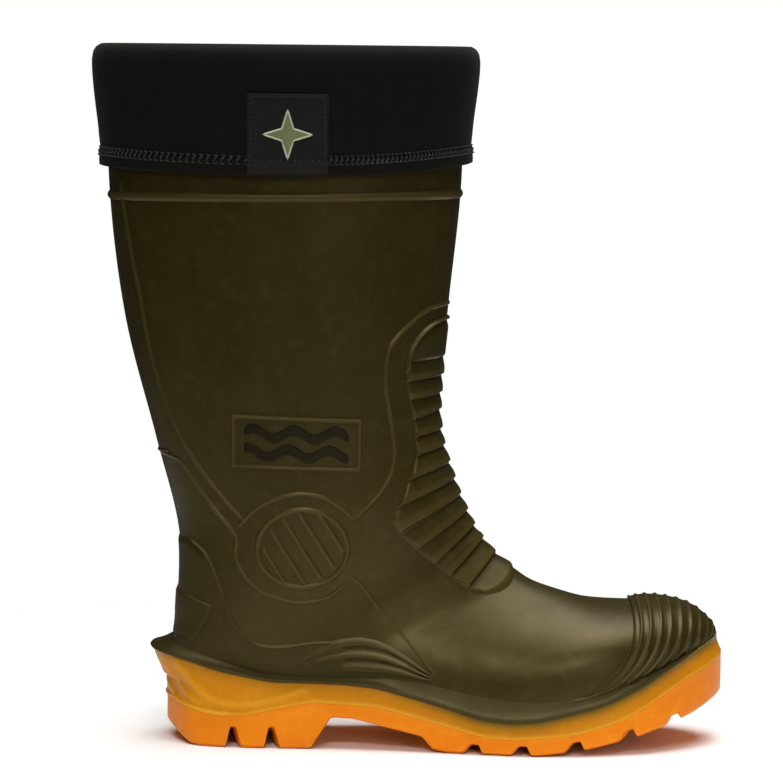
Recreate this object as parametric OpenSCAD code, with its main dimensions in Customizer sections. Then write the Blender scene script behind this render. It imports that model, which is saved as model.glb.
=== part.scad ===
// Waterproof deck boot, right foot: a moulded shell on a two-layer lugged sole, with a
// removable thermal liner whose cuff folds down over the rim.
// Frame: +X to the toe, +Z up, lateral side at -Y, origin on the floor under the box's middle.

/* [Size] */
// Scale of the length, 1 = EU size 43 to 44
length_scale = 1; // [0.95:0.01:1.05]
// Height of the shell's rim above the floor
rim_height = 376; // [360:1:390]
// Half-width of the shell at the rim
rim_half_width = 52; // [50:1:54]

/* [Shell] */
// Wall of the moulded shell
shell_wall = 3; // [2.6:0.1:3.2]
// Wall of the textile lining moulded inside the shell
lining_wall = 0.8; // [0.6:0.1:0.9]
// How far the trim band stands out
band_relief = 1.4; // [1:0.1:1.6]
// Number of ribs on the shin guard
shin_ribs = 14; // [10:1:16]
// How far each shin rib stands out at its lower edge
rib_relief = 2.6; // [2:0.2:3.2]
// Number of ribs on the toe bumper
toe_ribs = 9; // [7:1:10]
// Wall of the steel toe cap
toe_cap_wall = 1.8; // [1.5:0.1:2]

/* [Sole] */
// Depth of the grooves in the forefoot tread
tread_depth = 5; // [4:0.5:6]
// Depth of the grooves in the heel tread
heel_tread_depth = 11; // [8:1:12]
// Thickness of the steel midsole plate
plate_thickness = 1; // [0.6:0.1:1.2]
// How far the rand stands outside the sole's side
rand_lip = 1.2; // [0.8:0.2:1.6]

/* [Liner] */
// Thickness of the liner's foam fabric
liner_wall = 4; // [3:0.5:4]
// Gap between the liner and what it sits in
liner_gap = 0.5; // [0.5:0.1:0.8]
// How far the cuff hangs below the rim
cuff_drop = 63; // [55:1:66]
// Thickness of the insole board
board_thickness = 1.5; // [1:0.5:2]
// Thickness of the footbed
footbed_thickness = 4; // [3:0.5:5]
// Width of the cuff label
label_width = 43; // [38:1:46]
// Height of the cuff label
label_height = 43; // [38:1:46]

/* [Hidden] */
$fn = 48;

OLIVE = [0.30, 0.27, 0.14];
DARK_OLIVE = [0.24, 0.21, 0.10];
AMBER = [0.86, 0.62, 0.08];
ORANGE = [1.00, 0.56, 0.06];
BLACK = [0.08, 0.08, 0.08];
GREY = [0.30, 0.30, 0.30];
STEEL = [0.60, 0.62, 0.64];
CREAM = [0.80, 0.78, 0.70];

kz = rim_height / 376;
ky = rim_half_width / 52;

// Stations of the shell, from the rim down the leg, round the heel and on to the toe.
// Each row: back or bottom point x z, front or top point x z, half-width, sideways offset,
// flat share of the back or bottom, height of the widest line, lower and upper roundness.
STATIONS = [
  [-165.3, 376, 27.5, 376, 52,  0,   0.12, 0.50, 2.1, 2.1],
  [-165, 305,  27, 307,   52,   0,   0.12, 0.50, 2.1, 2.1],
  [-156, 233,  20.5, 238, 50,   0,   0.12, 0.50, 2.1, 2.1],
  [-139, 167,  16.2, 180, 46,   0,   0.12, 0.50, 2.1, 2.0],
  [-126, 115,  24, 146,   43,   0,   0.14, 0.45, 2.1, 1.95],
  [-126, 70,   35, 120,   39.5, 0,   0.22, 0.40, 2.3, 1.85],
  [-127, 52,   41, 111,   37.5, -0.3, 0.30, 0.36, 2.4, 1.85],
  [-118, 38,   48, 103,   36,   -0.7, 0.45, 0.33, 2.5, 1.85],
  [-85, 31,    60, 94,    35.2, -1.6, 0.64, 0.29, 2.7, 1.85],
  [-48, 30,    69, 88.5,  36.5, -2.5, 0.68, 0.28, 2.7, 1.9],
  [-10, 26,    82, 84,    40.5, -3,  0.70, 0.28, 2.7, 1.9],
  [30, 18,     96, 80,    46.5, -2.7, 0.72, 0.30, 2.7, 2.0],
  [65, 15.5,   108, 78.4, 51,   -2,  0.72, 0.32, 2.7, 2.1],
  [95, 17.5,   121, 77.6, 51,   -1,  0.72, 0.34, 2.7, 2.2],
  [118, 22.5,  134, 77,   47,   0.8, 0.71, 0.37, 2.7, 2.3],
  [138, 30,    147, 74,   38.5, 2.2, 0.68, 0.39, 2.6, 2.35],
  [153, 40,    157, 69.5, 28,   3.4, 0.60, 0.42, 2.4, 2.3],
  [163, 48,    164.5, 63.5, 17, 4,   0.48, 0.44, 2.3, 2.2],
  [167.5, 54,  168, 59,   7,    4,   0.35, 0.46, 2.2, 2.1],
];
LAST = len(STATIONS) - 1;
RING_STEP = 0.6;     // stations between two rings of a shell
RING_POINTS = 28;
FLAT_END = 4 / RING_POINTS; // share of a half ring spent on the flat back or bottom
WIDEST = 0.5;        // share of a half ring at the widest line
LEG_END = 3;         // station where the liner's leg ends and its foot begins
CAP_START = 13.2;    // station of the toe cap's back edge
PLATE_START = 7.2;   // station of the midsole plate's back end
INNER_END = 17.4;    // last station of the shell's inside
EMBED = 0.4;         // how deep a moulded-on panel is keyed into the shell
GLUE = 0.1;          // glue line between the shell and its lining
NUDGE = 0.01;

// Plan outline of the sole, from the toe tip along the lateral side and round the heel.
SOLE_OUTLINE = [
  [173.5, 4], [161, -25.5], [127, -48], [72, -56.8], [12, -48], [-50, -41.5], [-100, -38.5],
  [-130, -24], [-138.5, 0], [-130, 23], [-100, 35.5], [-50, 34], [12, 38.5], [72, 51.8],
  [127, 48.6], [161, 30.5],
];
OUTLINE_STEPS = 4;

// Heights of the sole's layers along X: top and bottom of the rand, and the parting line
// between midsole and outsole.
RAND_TOP = [
  [-150, 60], [-127, 57], [-101, 47.5], [-80, 41], [-56, 39.5], [-15, 39.5], [7, 38], [29, 33],
  [51, 29], [73, 28.5], [95, 31.5], [117, 38.5], [146, 51], [180, 62],
];
RAND_BOTTOM = [
  [-150, 51], [-132, 49.5], [-103, 42], [-74, 36.5], [-34, 36], [-17, 34.5], [16, 26],
  [40, 19], [57, 17.5], [73, 19], [106, 27], [140, 44], [180, 59],
];
PARTING = [
  [-150, 24.5], [-132, 24], [-106, 17.5], [-89, 17.5], [-52, 25.5], [-17, 24], [16, 16],
  [40, 9.7], [57, 8.6], [90, 11.3], [123, 20], [146, 28], [158, 35], [180, 46],
];
// Bottom of the tread from heel to toe, before its grooves are cut.
TREAD = [
  [-150, 24], [-134, 12], [-118, 1], [-112, 0], [-52, 0], [-41, 17.5], [-29, 17],
  [8, 8.5], [14, 1.5], [22, 0], [72, 0], [97, 3.2], [126, 10], [156, 20], [180, 32],
];
HEEL_GROOVES = [-94, -73];
FOREFOOT_GROOVES = [37, 63, 92, 121, 146];
GROOVE_WIDTH = 7;

// ---- Curves -------------------------------------------------------------------------------

function lerp(a, b, t) = a + (b - a) * t;
function clamp(x, lo, hi) = min(max(x, lo), hi);
function smooth(x) = let (c = clamp(x, 0, 1)) c * c * (3 - 2 * c);
function spline(a, b, c, d, t) =
  0.5 * ((2 * b) + (c - a) * t + (2 * a - 5 * b + 4 * c - d) * t * t
    + (3 * b - a - 3 * c + d) * t * t * t);

// The closed outline of the sole, moved out by a distance.
function outline_point(s) =
  let (n = len(SOLE_OUTLINE), i = floor(s))
  spline(SOLE_OUTLINE[(i + n - 1) % n], SOLE_OUTLINE[i % n], SOLE_OUTLINE[(i + 1) % n],
    SOLE_OUTLINE[(i + 2) % n], s - i);
function outline(out) = [
  for (k = [0 : len(SOLE_OUTLINE) * OUTLINE_STEPS - 1])
    let (s = k / OUTLINE_STEPS, p = outline_point(s), d = outline_point(s + 0.02) - p)
    [p[0] * length_scale, p[1] * ky] + out * [d[1], -d[0]] / norm(d) * -1
];

// ---- The shell's surface ------------------------------------------------------------------

// A row of STATIONS at any place u from 0, the rim, to LAST, the toe.
function station(u) =
  let (c = clamp(u, 0, LAST), i = min(floor(c), LAST - 1))
  spline(STATIONS[max(i - 1, 0)], STATIONS[i], STATIONS[i + 1], STATIONS[min(i + 2, LAST)], c - i);
function low_end(r) = [r[0] * length_scale, r[1] * kz];
function high_end(r) = [r[2] * length_scale, r[3] * kz];
function unit(v) = v / norm(v);
function low_normal(u) =
  let (t = unit(low_end(station(u + 0.05)) - low_end(station(u - 0.05)))) [t[1], -t[0]];
function high_normal(u) =
  let (t = unit(high_end(station(u + 0.05)) - high_end(station(u - 0.05)))) [-t[1], t[0]];

// Sideways share of the half-width at height h of a section, from 0 to 1.
function share(h, r) =
  h < r[7]
    ? let (s = pow(1 - h / r[7], r[8] / 2)) r[6] + (1 - r[6]) * pow(1 - s * s, 1 / r[8])
    : let (s = pow((h - r[7]) / (1 - r[7]), r[9] / 2)) pow(max(1 - s * s, 0), 1 / r[9]);

// Height and sideways share at place t of a half ring, t from 0 to 1.
function half_section(t, r) =
  t < FLAT_END
    ? [0, r[6] * t / FLAT_END]
    : t < WIDEST
      ? let (h = r[7] * (1 - pow(cos(90 * (t - FLAT_END) / (WIDEST - FLAT_END)), 2 / r[8])))
        [h, share(h, r)]
      : let (h = r[7] + (1 - r[7]) * pow(sin(90 * (t - WIDEST) / (1 - WIDEST)), 2 / r[9]))
        [h, share(h, r)];

// A point at height h and sideways share s of section u, moved out from the shell by out,
// and by low_out at the back and bottom, below the widest line.
function place(u, h, s, out, low_out) =
  let (r = station(u), n = low_normal(u), b = low_end(r) + out * n,
       f = high_end(r) + out * high_normal(u),
       p = lerp(b, f, h) + (low_out - out) * max(1 - h / r[7], 0) * n)
  [p[0], r[5] * ky + (r[4] * ky + out) * s, p[1]];
function ring(u, out, low_out) = [
  for (j = [0 : RING_POINTS - 1])
    let (t = 2 * j / RING_POINTS, side = t > 1 ? 1 : -1,
         hs = half_section(t > 1 ? 2 - t : t, station(u)))
    place(u, hs[0], side * hs[1], out, low_out)
];
function rings(u0, u1) = [for (i = [0 : round((u1 - u0) / RING_STEP)]) u0 + i * RING_STEP];
// The rim's outline moved out by a distance, at a given height.
function rim_ring(out, z) = [for (p = ring(0, out, out)) [p[0], p[1], z]];

// A point on the shell seen from the side at x, z, moved out by out along its normal.
function find_station(p, lo, hi, n) =
  let (mid = (lo + hi) / 2, r = station(mid), b = low_end(r), c = high_end(r) - b, q = p - b)
  n == 0 ? mid
    : c[0] * q[1] - c[1] * q[0] > 0 ? find_station(p, lo, mid, n - 1)
    : find_station(p, mid, hi, n - 1);
function on_side(x, z, side, out) =
  let (u = find_station([x, z], 0, LAST, 18), r = station(u), b = low_end(r),
       h = clamp(norm([x, z] - b) / norm(high_end(r) - b), 0, 1))
  place(u, h, side * share(h, r), out, out);

// Offsets of the layers inside the shell, at the sides and at the back and bottom.
function toe_room(u) = u >= CAP_START - NUDGE ? toe_cap_wall : 0;
function plate_room(u) = plate_thickness * smooth((u - 5.4) / 1.2);
function lining_side(u) = -shell_wall - GLUE - toe_room(u);
function lining_low(u) = -shell_wall - GLUE - max(toe_room(u), plate_room(u));
function lined_room(u) = toe_cap_wall * smooth((u - CAP_START + 1.2) / 1.2);
function lined_side(u) = -shell_wall - lining_wall - lined_room(u);
function lined_low(u) = -shell_wall - lining_wall - max(lined_room(u), plate_room(u));
function stack(u) = (board_thickness + footbed_thickness) * smooth((u - 4.8) / 1.8);
function liner_side(u) = lined_side(u) - liner_gap;
function liner_low(u) = lined_low(u) - liner_gap - stack(u);

// ---- Closed solids from rings and grids ---------------------------------------------------

function flatten(rows) = [for (r = rows) each r];
function reversed(list) = [for (i = [len(list) - 1 : -1 : 0]) list[i]];
function skin(rows, m, base, flip) = [
  for (i = [0 : rows - 2], j = [0 : m - 1])
    let (a = base + i * m + j, b = base + i * m + (j + 1) % m, c = b + m, d = a + m)
    each flip ? [[a, c, b], [a, d, c]] : [[a, b, c], [a, c, d]]
];
function lid(m, base, flip) = [
  for (j = [1 : m - 2])
    let (top = floor(m / 2), a = base + top, b = base + (top + j) % m,
         c = base + (top + j + 1) % m)
    flip ? [a, b, c] : [a, c, b]
];
function rim_faces(m, a, b, flip) = [
  for (j = [0 : m - 1])
    let (k = (j + 1) % m)
    each flip
      ? [[a + j, a + k, b + k], [a + j, b + k, b + j]]
      : [[a + j, b + k, a + k], [a + j, b + j, b + k]]
];

// A solid through rings, closed by flat lids.
module ring_solid(list) {
  m = len(list[0]);
  n = len(list);
  polyhedron(
    flatten(list),
    concat(skin(n, m, 0, false), lid(m, 0, false), lid(m, (n - 1) * m, true))
  );
}

// A cup: open at the first ring, closed at the last.
module cup(outer, inner) {
  m = len(outer[0]);
  no = len(outer);
  ni = len(inner);
  polyhedron(
    concat(flatten(outer), flatten(inner)),
    concat(
      skin(no, m, 0, false), lid(m, (no - 1) * m, true),
      skin(ni, m, no * m, true), lid(m, (no + ni - 1) * m, false),
      rim_faces(m, 0, no * m, false)
    )
  );
}

// A sleeve: open at both ends.
module sleeve(outer, inner) {
  m = len(outer[0]);
  n = len(outer);
  polyhedron(
    concat(flatten(outer), flatten(inner)),
    concat(
      skin(n, m, 0, false), skin(n, m, n * m, true),
      rim_faces(m, 0, n * m, false), rim_faces(m, (n - 1) * m, (2 * n - 1) * m, true)
    )
  );
}

// A tube swept round a closed loop, one equal cross-section per place on the loop.
module loop_solid(list) {
  m = len(list[0]);
  n = len(list);
  polyhedron(
    flatten(list),
    [
      for (i = [0 : n - 1], j = [0 : m - 1])
        let (k = (i + 1) % n, l = (j + 1) % m)
        each [[i * m + j, i * m + l, k * m + l], [i * m + j, k * m + l, k * m + j]]
    ]
  );
}

// A slab between two grids of the same size.
module slab(top, bottom) {
  n = len(top);
  m = len(top[0]);
  base = n * m;
  edge = concat(
    [for (j = [0 : m - 1]) j],
    [for (i = [1 : n - 1]) i * m + m - 1],
    [for (j = [m - 2 : -1 : 0]) (n - 1) * m + j],
    [for (i = [n - 2 : -1 : 1]) i * m]
  );
  polyhedron(
    concat(flatten(top), flatten(bottom)),
    concat(
      [for (i = [0 : n - 2], j = [0 : m - 2])
        let (a = i * m + j, b = a + 1, c = a + m + 1, d = a + m)
        each [[a, b, c], [a, c, d]]],
      [for (i = [0 : n - 2], j = [0 : m - 2])
        let (a = base + i * m + j, b = a + 1, c = a + m + 1, d = a + m)
        each [[a, c, b], [a, d, c]]],
      [for (k = [0 : len(edge) - 1])
        let (a = edge[k], b = edge[(k + 1) % len(edge)])
        each [[a, b + base, b], [a, a + base, b + base]]]
    )
  );
}

// A closed collar round the rim, from a profile of [distance out from the shell, height].
module collar(profile) {
  loop_solid([
    for (j = [0 : RING_POINTS - 1])
      [for (p = reversed(profile)) rim_ring(p[0], p[1])[j]]
  ]);
}

// A tube of small radius along points that already lie where its middle goes.
module thread(points, radius, closed) {
  n = len(points);
  around = 6;
  list = [
    for (i = [0 : n - 1])
      let (a = closed ? points[(i + n - 1) % n] : points[max(i - 1, 0)],
           b = closed ? points[(i + 1) % n] : points[min(i + 1, n - 1)],
           d = unit(b - a), up = abs(d[2]) > 0.9 ? [0, 1, 0] : [0, 0, 1],
           s = unit(cross(d, up)), v = cross(s, d))
      [for (k = [0 : around - 1]) let (w = 360 * k / around)
        points[i] + radius * (cos(w) * s + sin(w) * v)]
  ];
  if (closed) loop_solid(list);
  else ring_solid(list);
}

// ---- Boot: shell and what is moulded on it ------------------------------------------------

function shell_rings(u0, u1, out) = [for (u = rings(u0, u1)) ring(u, out, out)];

module upper_shell() {
  color(OLIVE)
    cup(shell_rings(0, LAST, 0), shell_rings(0, INNER_END, -shell_wall));
}

// The rib round the leg under the cuff.
module top_band() {
  u_mid = 1.08;
  half = 0.07;
  profile = [[-half, 0.2], [-half / 2, band_relief], [half / 2, band_relief], [half, 0.2]];
  color(OLIVE) sleeve(
    [for (p = profile) ring(u_mid + p[0], p[1], p[1])],
    [for (p = profile) ring(u_mid + p[0], -EMBED, -EMBED)]
  );
}

// Distance down the shin to the station there, and the guard's edge as a section height.
SHIN_RUN = [[0, 2.1], [52, 3], [87, 4], [115, 5], [126, 6], [137, 7], [152, 8]];
SHIN_EDGE = [
  [2.1, 0.97], [2.35, 0.88], [3, 0.9], [3.5, 0.88], [4, 0.83], [4.6, 0.77], [5, 0.78],
  [6, 0.85], [7, 0.9], [8, 0.97],
];
SHIN_LENGTH = 152;

// Overlapping ribs down the shin and over the instep, each proudest at its lower edge.
module shin_guard() {
  columns = 10;
  pitch = SHIN_LENGTH / shin_ribs;
  rows = [
    for (k = [0 : shin_ribs - 1])
      each [[k * pitch, 0.6], [(k + 0.45) * pitch, 1.5], [(k + 0.9) * pitch, rib_relief]]
  ];
  function row(run, out) =
    let (u = lookup(run, SHIN_RUN), edge = lookup(u, SHIN_EDGE))
    [for (c = [0 : columns])
      let (q = 2 * c / columns - 1, h = 1 - (1 - edge) * q * q, side = q < 0 ? -1 : 1)
      place(u, h, side * share(h, station(u)), out, out)];
  color(OLIVE) slab([for (r = rows) row(r[0], r[1])], [for (r = rows) row(r[0], -EMBED)]);
}

// A disc over the ankle bone with slanted ridges.
ANKLE = [-57, 111];
ANKLE_RADII = [27, 23];
module ankle_guard(side) {
  slant = 58;
  ridges = 5;
  columns = 6;
  reach = 0.96;
  steps = [[0, 0.9], [0.3, 0.9], [0.42, 1.9], [0.72, 1.9], [0.84, 0.9]];
  along = [cos(slant), -sin(slant)];
  across = [sin(slant), cos(slant)];
  rows = concat(
    [for (k = [0 : ridges - 1], s = steps) [lerp(-reach, reach, (k + s[0]) / ridges), s[1]]],
    [[reach, 0.9]]
  );
  function row(p, out) = [
    for (c = [0 : columns])
      let (q = lerp(-1, 1, c / columns) * sqrt(1 - p * p), v = across * p + along * q)
      on_side(ANKLE[0] + ANKLE_RADII[0] * v[0], ANKLE[1] + ANKLE_RADII[1] * v[1], side, out)
  ];
  top = [for (r = rows) row(r[0], r[1])];
  bottom = [for (r = rows) row(r[0], -EMBED)];
  if (side > 0) slab(top, bottom);
  else slab(reversed(top), reversed(bottom));
}
module ankle_guard_outer() {
  color(OLIVE) ankle_guard(-1);
}
module ankle_guard_inner() {
  color(OLIVE) ankle_guard(1);
}

// Heel counter: a raised panel round the back of the heel, from its top edge to the rand.
COUNTER_TOP = [[-127, 114], [-117, 111], [-110, 105], [-101, 85], [-93, 66], [-79, 56], [-38, 58]];
COUNTER_FRONT = -38;
COUNTER_RELIEF = 0.8;
KICK_RELIEF = 2;
RAND_GAP = 0.8;
module heel_counter() {
  rows = 6;
  columns = 12;
  back_top = 114;
  back_low = 58.5;
  function row(v, out) =
    let (z_back = lerp(back_top, back_low, v), u = find_back(z_back), r = station(u))
    concat(
      [for (c = [0 : columns]) counter_point(c / columns, v, u, -1, out)],
      [place(u, 0, 0, out, out)],
      [for (c = [columns : -1 : 0]) counter_point(c / columns, v, u, 1, out)]
    );
  function counter_point(q, v, u, side, out) =
    let (r = station(u), x = lerp(COUNTER_FRONT, low_end(r)[0], sin(90 * q)),
         z = lerp(lookup(x, COUNTER_TOP), lookup(x, RAND_TOP) + RAND_GAP, v))
    q == 1 ? place(u, 0, side * r[6], out, out) : on_side(x, z, side, out);
  color(DARK_OLIVE) slab(
    [for (i = [rows : -1 : 0]) row(i / rows, COUNTER_RELIEF)],
    [for (i = [rows : -1 : 0]) row(i / rows, -EMBED)]
  );
}
function find_back(z, lo = 3, hi = 6.5, n = 18) =
  let (mid = (lo + hi) / 2)
  n == 0 ? mid
    : low_end(station(mid))[1] > z ? find_back(z, mid, hi, n - 1)
    : find_back(z, lo, mid, n - 1);

// A thicker patch on the back of the counter, used to push the boot off.
module heel_kick_plate() {
  rows = 4;
  columns = 4;
  function row(i, out) =
    let (u = find_back(lerp(84, 60.5, i / rows)), r = station(u), edge = lerp(0.11, 0.07, i / rows))
    concat(
      [for (c = [columns : -1 : 0]) let (h = edge * pow(c / columns, 2))
        place(u, h, -share(h, r), out, out)],
      [place(u, 0, 0, out, out)],
      [for (c = [0 : columns]) let (h = edge * pow(c / columns, 2))
        place(u, h, share(h, r), out, out)]
    );
  color(DARK_OLIVE) slab(
    [for (i = [rows : -1 : 0]) row(i, KICK_RELIEF)],
    [for (i = [rows : -1 : 0]) row(i, COUNTER_RELIEF - EMBED)]
  );
}

// Ribbed bumper over the toe, down to the rand.
BUMPER_EDGE = [[13, 0.31], [14, 0.39], [15, 0.485], [16, 0.535], [17, 0.67], [18, 0.97]];
module toe_bumper() {
  columns = 12;
  u0 = 13.1;
  u1 = 17.9;
  profile = [[0, 0.8], [0.25, 1.9], [0.7, 1.9]];
  rows = concat(
    [for (k = [0 : toe_ribs - 1], p = profile) [lerp(u0, u1, (k + p[0]) / toe_ribs), p[1]]],
    [[u1, 0.8]]
  );
  function row(u, out) =
    let (edge = lookup(u, BUMPER_EDGE))
    [for (c = [0 : columns])
      let (q = 2 * c / columns - 1, h = 1 - (1 - edge) * q * q, side = q < 0 ? -1 : 1)
      place(u, h, side * share(h, station(u)), out, out)];
  color(OLIVE) slab([for (r = rows) row(r[0], r[1])], [for (r = rows) row(r[0], -EMBED)]);
}

// A framed plate on the outer side of the leg, with a plain sunk field.
BADGE = [[-96, 156], [-26, 182]];
module side_badge() {
  frame = 2;
  xs = concat([BADGE[0][0]], [for (k = [0 : 6]) lerp(BADGE[0][0] + frame, BADGE[1][0] - frame, k / 6)],
    [BADGE[1][0]]);
  zs = [BADGE[1][1], BADGE[1][1] - frame, lerp(BADGE[0][1], BADGE[1][1], 0.5), BADGE[0][1] + frame,
    BADGE[0][1]];
  function inside(i, j) = i > 0 && i < len(zs) - 1 && j > 0 && j < len(xs) - 1;
  color(DARK_OLIVE) slab(
    [for (i = [0 : len(zs) - 1]) [for (j = [0 : len(xs) - 1])
      on_side(xs[j], zs[i], -1, inside(i, j) ? 0.7 : 1.5)]],
    [for (z = zs) [for (x = xs) on_side(x, z, -1, -EMBED)]]
  );
}

// ---- Boot: inside ---------------------------------------------------------------------------

module textile_lining() {
  color(GREY) cup(
    concat(
      [for (u = rings(0, CAP_START))
        ring(u, -shell_wall - GLUE, -shell_wall - GLUE - plate_room(u))],
      [for (u = rings(CAP_START, 16.8)) ring(u, lining_side(u), lining_low(u))]
    ),
    [for (u = rings(0, 16.2)) ring(u, lined_side(u), lined_low(u))]
  );
}

// A strip along the flat bottom inside the boot, between two heights above the lining.
module bottom_strip(u0, u1, low, high) {
  function row(u, up) = [
    for (s = [-1, -0.5, 0, 0.5, 1]) place(u, 0, s * station(u)[6], lined_side(u), lined_low(u) - up)
  ];
  slab([for (u = rings(u0, u1)) row(u, high)], [for (u = rings(u0, u1)) row(u, low)]);
}
module insole_board() {
  color(GREY) bottom_strip(6.6, 16.2, 0, board_thickness);
}
module footbed() {
  color(BLACK) bottom_strip(7.2, 15.6, board_thickness, board_thickness + footbed_thickness);
}

// Between the shell and the lining: the toe cap, open below, and the plate under the foot.
module steel_toe_cap() {
  cap_end = 16.8;
  color(STEEL) difference() {
    cup(
      shell_rings(CAP_START, INNER_END, -shell_wall),
      shell_rings(CAP_START, cap_end, -shell_wall - toe_cap_wall)
    );
    translate([90, -22, 0]) cube([55, 42, 50]);
  }
}
module steel_midsole_plate() {
  function row(u, out) = [
    for (s = [-1, -0.5, 0, 0.5, 1]) place(u, 0, s * station(u)[6], -shell_wall, out)
  ];
  us = rings(PLATE_START, CAP_START);
  color(STEEL) slab(
    [for (u = us) row(u, -shell_wall - plate_thickness)],
    [for (u = us) row(u, -shell_wall)]
  );
}

// ---- Boot: sole -----------------------------------------------------------------------------

// The sole's outline extruded up, kept between two lines of the side view.
module layer(low_line, high_line, out) {
  width = 200;
  height = 80;
  intersection() {
    linear_extrude(height) polygon(outline(out));
    rotate([90, 0, 0]) linear_extrude(width, center = true)
      polygon(concat(low_line, reversed(high_line)));
  }
}
module foot_solid() {
  ring_solid(shell_rings(4.8, LAST, 0));
}
module rand() {
  color(OLIVE) difference() {
    layer(RAND_BOTTOM, RAND_TOP, rand_lip);
    foot_solid();
  }
}
module midsole() {
  color(AMBER) difference() {
    layer(PARTING, RAND_BOTTOM, 0);
    foot_solid();
  }
}
module groove(x, depth, floor_z) {
  width = 200;
  rotate([90, 0, 0]) linear_extrude(width, center = true)
    polygon([
      [x - GROOVE_WIDTH / 2 - 1, floor_z - 1], [x + GROOVE_WIDTH / 2 + 1, floor_z - 1],
      [x + GROOVE_WIDTH / 2 - 1, floor_z + depth], [x - GROOVE_WIDTH / 2 + 1, floor_z + depth],
    ]);
}
module outsole() {
  color(ORANGE) difference() {
    layer(TREAD, PARTING, -0.6);
    for (x = HEEL_GROOVES) groove(x, heel_tread_depth, 0);
    for (x = FOREFOOT_GROOVES) groove(x, tread_depth, lookup(x, TREAD));
  }
}

// ---- Liner ----------------------------------------------------------------------------------

LEG_TOP = rim_height - 10;
module liner_leg() {
  outer = liner_side(0);
  inner = outer - liner_wall;
  us = rings(RING_STEP, LEG_END);
  color(BLACK) sleeve(
    concat([rim_ring(outer, LEG_TOP)], [for (u = us) ring(u, liner_side(u), liner_low(u))]),
    concat(
      [rim_ring(inner, LEG_TOP)],
      [for (u = us) ring(u, liner_side(u) - liner_wall, liner_low(u) - liner_wall)]
    )
  );
}
module liner_foot() {
  color(BLACK) cup(
    [for (u = rings(LEG_END, 15.6)) ring(u, liner_side(u), liner_low(u))],
    [for (u = rings(LEG_END, 15)) ring(u, liner_side(u) - liner_wall, liner_low(u) - liner_wall)]
  );
}

// The cuff's outside, as height from the rim and distance out from the shell.
CUFF_OUTSIDE = [[-64, 4.4], [-41, 5.6], [-16, 8.2], [-4, 9], [1.5, 8.3], [5, 5]];
CUFF_GAP = 0.8;
HEM_WALL = 1.5;
HEM_HEIGHT = 14;
module liner_cuff() {
  outer = liner_side(0);
  inner = outer - liner_wall;
  over = liner_gap + 0.1;
  profile = concat(
    [[inner, -10], [inner, -1], [inner + 2, 4], [-1, 5.3]],
    [for (i = [len(CUFF_OUTSIDE) - 1 : -1 : 1]) [CUFF_OUTSIDE[i][1], CUFF_OUTSIDE[i][0]]],
    [
      [lookup(-cuff_drop, CUFF_OUTSIDE), -cuff_drop], [CUFF_GAP + HEM_WALL, -cuff_drop],
      [CUFF_GAP + HEM_WALL, HEM_HEIGHT - cuff_drop], [CUFF_GAP, HEM_HEIGHT - cuff_drop],
      [CUFF_GAP, over], [outer, over], [outer, -10],
    ]
  );
  color(BLACK) collar([for (p = profile) [p[0], rim_height + p[1]]]);
}

// The turned-in edge inside the foot of the cuff.
module cuff_hem() {
  low = rim_height - cuff_drop;
  color(BLACK) collar([
    [CUFF_GAP + HEM_WALL, low], [CUFF_GAP, low], [CUFF_GAP, low + HEM_HEIGHT],
    [CUFF_GAP + HEM_WALL, low + HEM_HEIGHT],
  ]);
}

function cuff_out(z) = lookup(z - rim_height, CUFF_OUTSIDE);

// Two rows of thread round the hem.
module hem_stitching() {
  color(GREY) for (up = [8, 12]) {
    z = rim_height - cuff_drop + up;
    thread(rim_ring(cuff_out(z) + 0.1, z), 0.5, true);
  }
}

// A point on the outer side of the cuff at x, z.
function on_cuff(x, z, out) =
  let (r = station(0), d = cuff_out(z) + out, h = (x - low_end(r)[0] + d) /
         (high_end(r)[0] - low_end(r)[0] + 2 * d), p = place(0, h, -share(h, r), d, d))
  [p[0], p[1], z];

LABEL_MIDDLE = [-66.5, 334.5];
module label_slab(points_x, points_z, low, high) {
  slab(
    [for (z = points_z) [for (x = points_x) on_cuff(x, z, high)]],
    [for (z = points_z) [for (x = points_x) on_cuff(x, z, low)]]
  );
}
module cuff_label() {
  color(GREY) label_slab(
    [for (k = [0 : 4]) LABEL_MIDDLE[0] + label_width * (k / 4 - 0.5)],
    [for (k = [0 : 5]) LABEL_MIDDLE[1] + label_height * (0.5 - k / 5)],
    -0.3, 1.2
  );
}
module label_stitching() {
  inset = 2;
  w = label_width / 2 - inset;
  h = label_height / 2 - inset;
  corners = [[-w, -h], [w, -h], [w, h], [-w, h]];
  per_side = 4;
  points = [
    for (i = [0 : 3], k = [0 : per_side - 1])
      let (q = LABEL_MIDDLE + lerp(corners[i], corners[(i + 1) % 4], k / per_side))
      on_cuff(q[0], q[1], 1.25)
  ];
  color(CREAM) thread(points, 0.35, true);
}

// An embroidered four-pointed star with a bar across it.
module label_emblem() {
  star = 13;
  waist = 0.3;
  bar = [14, 3];
  points = [
    for (k = [1 : 8]) let (r = star * (k % 2 == 0 ? 1 : waist)) r * [cos(45 * k), -sin(45 * k)]
  ];
  list = [
    for (step = [[0.05, 0.9], [1, 0.9], [1, 1.6], [0.05, 1.6]])
      [for (p = points) let (q = LABEL_MIDDLE + step[0] * p) on_cuff(q[0], q[1], step[1])]
  ];
  color(CREAM) ring_solid(list);
}

upper_shell();
top_band();
shin_guard();
ankle_guard_outer();
ankle_guard_inner();
heel_counter();
heel_kick_plate();
toe_bumper();
side_badge();
textile_lining();
insole_board();
footbed();
steel_toe_cap();
steel_midsole_plate();
rand();
midsole();
outsole();
liner_leg();
liner_foot();
liner_cuff();
cuff_hem();
hem_stitching();
cuff_label();
label_stitching();
label_emblem();
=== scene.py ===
import math

import bmesh
import bpy
import numpy as np
from mathutils import Matrix, Vector, noise
from mathutils.bvhtree import BVHTree


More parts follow.
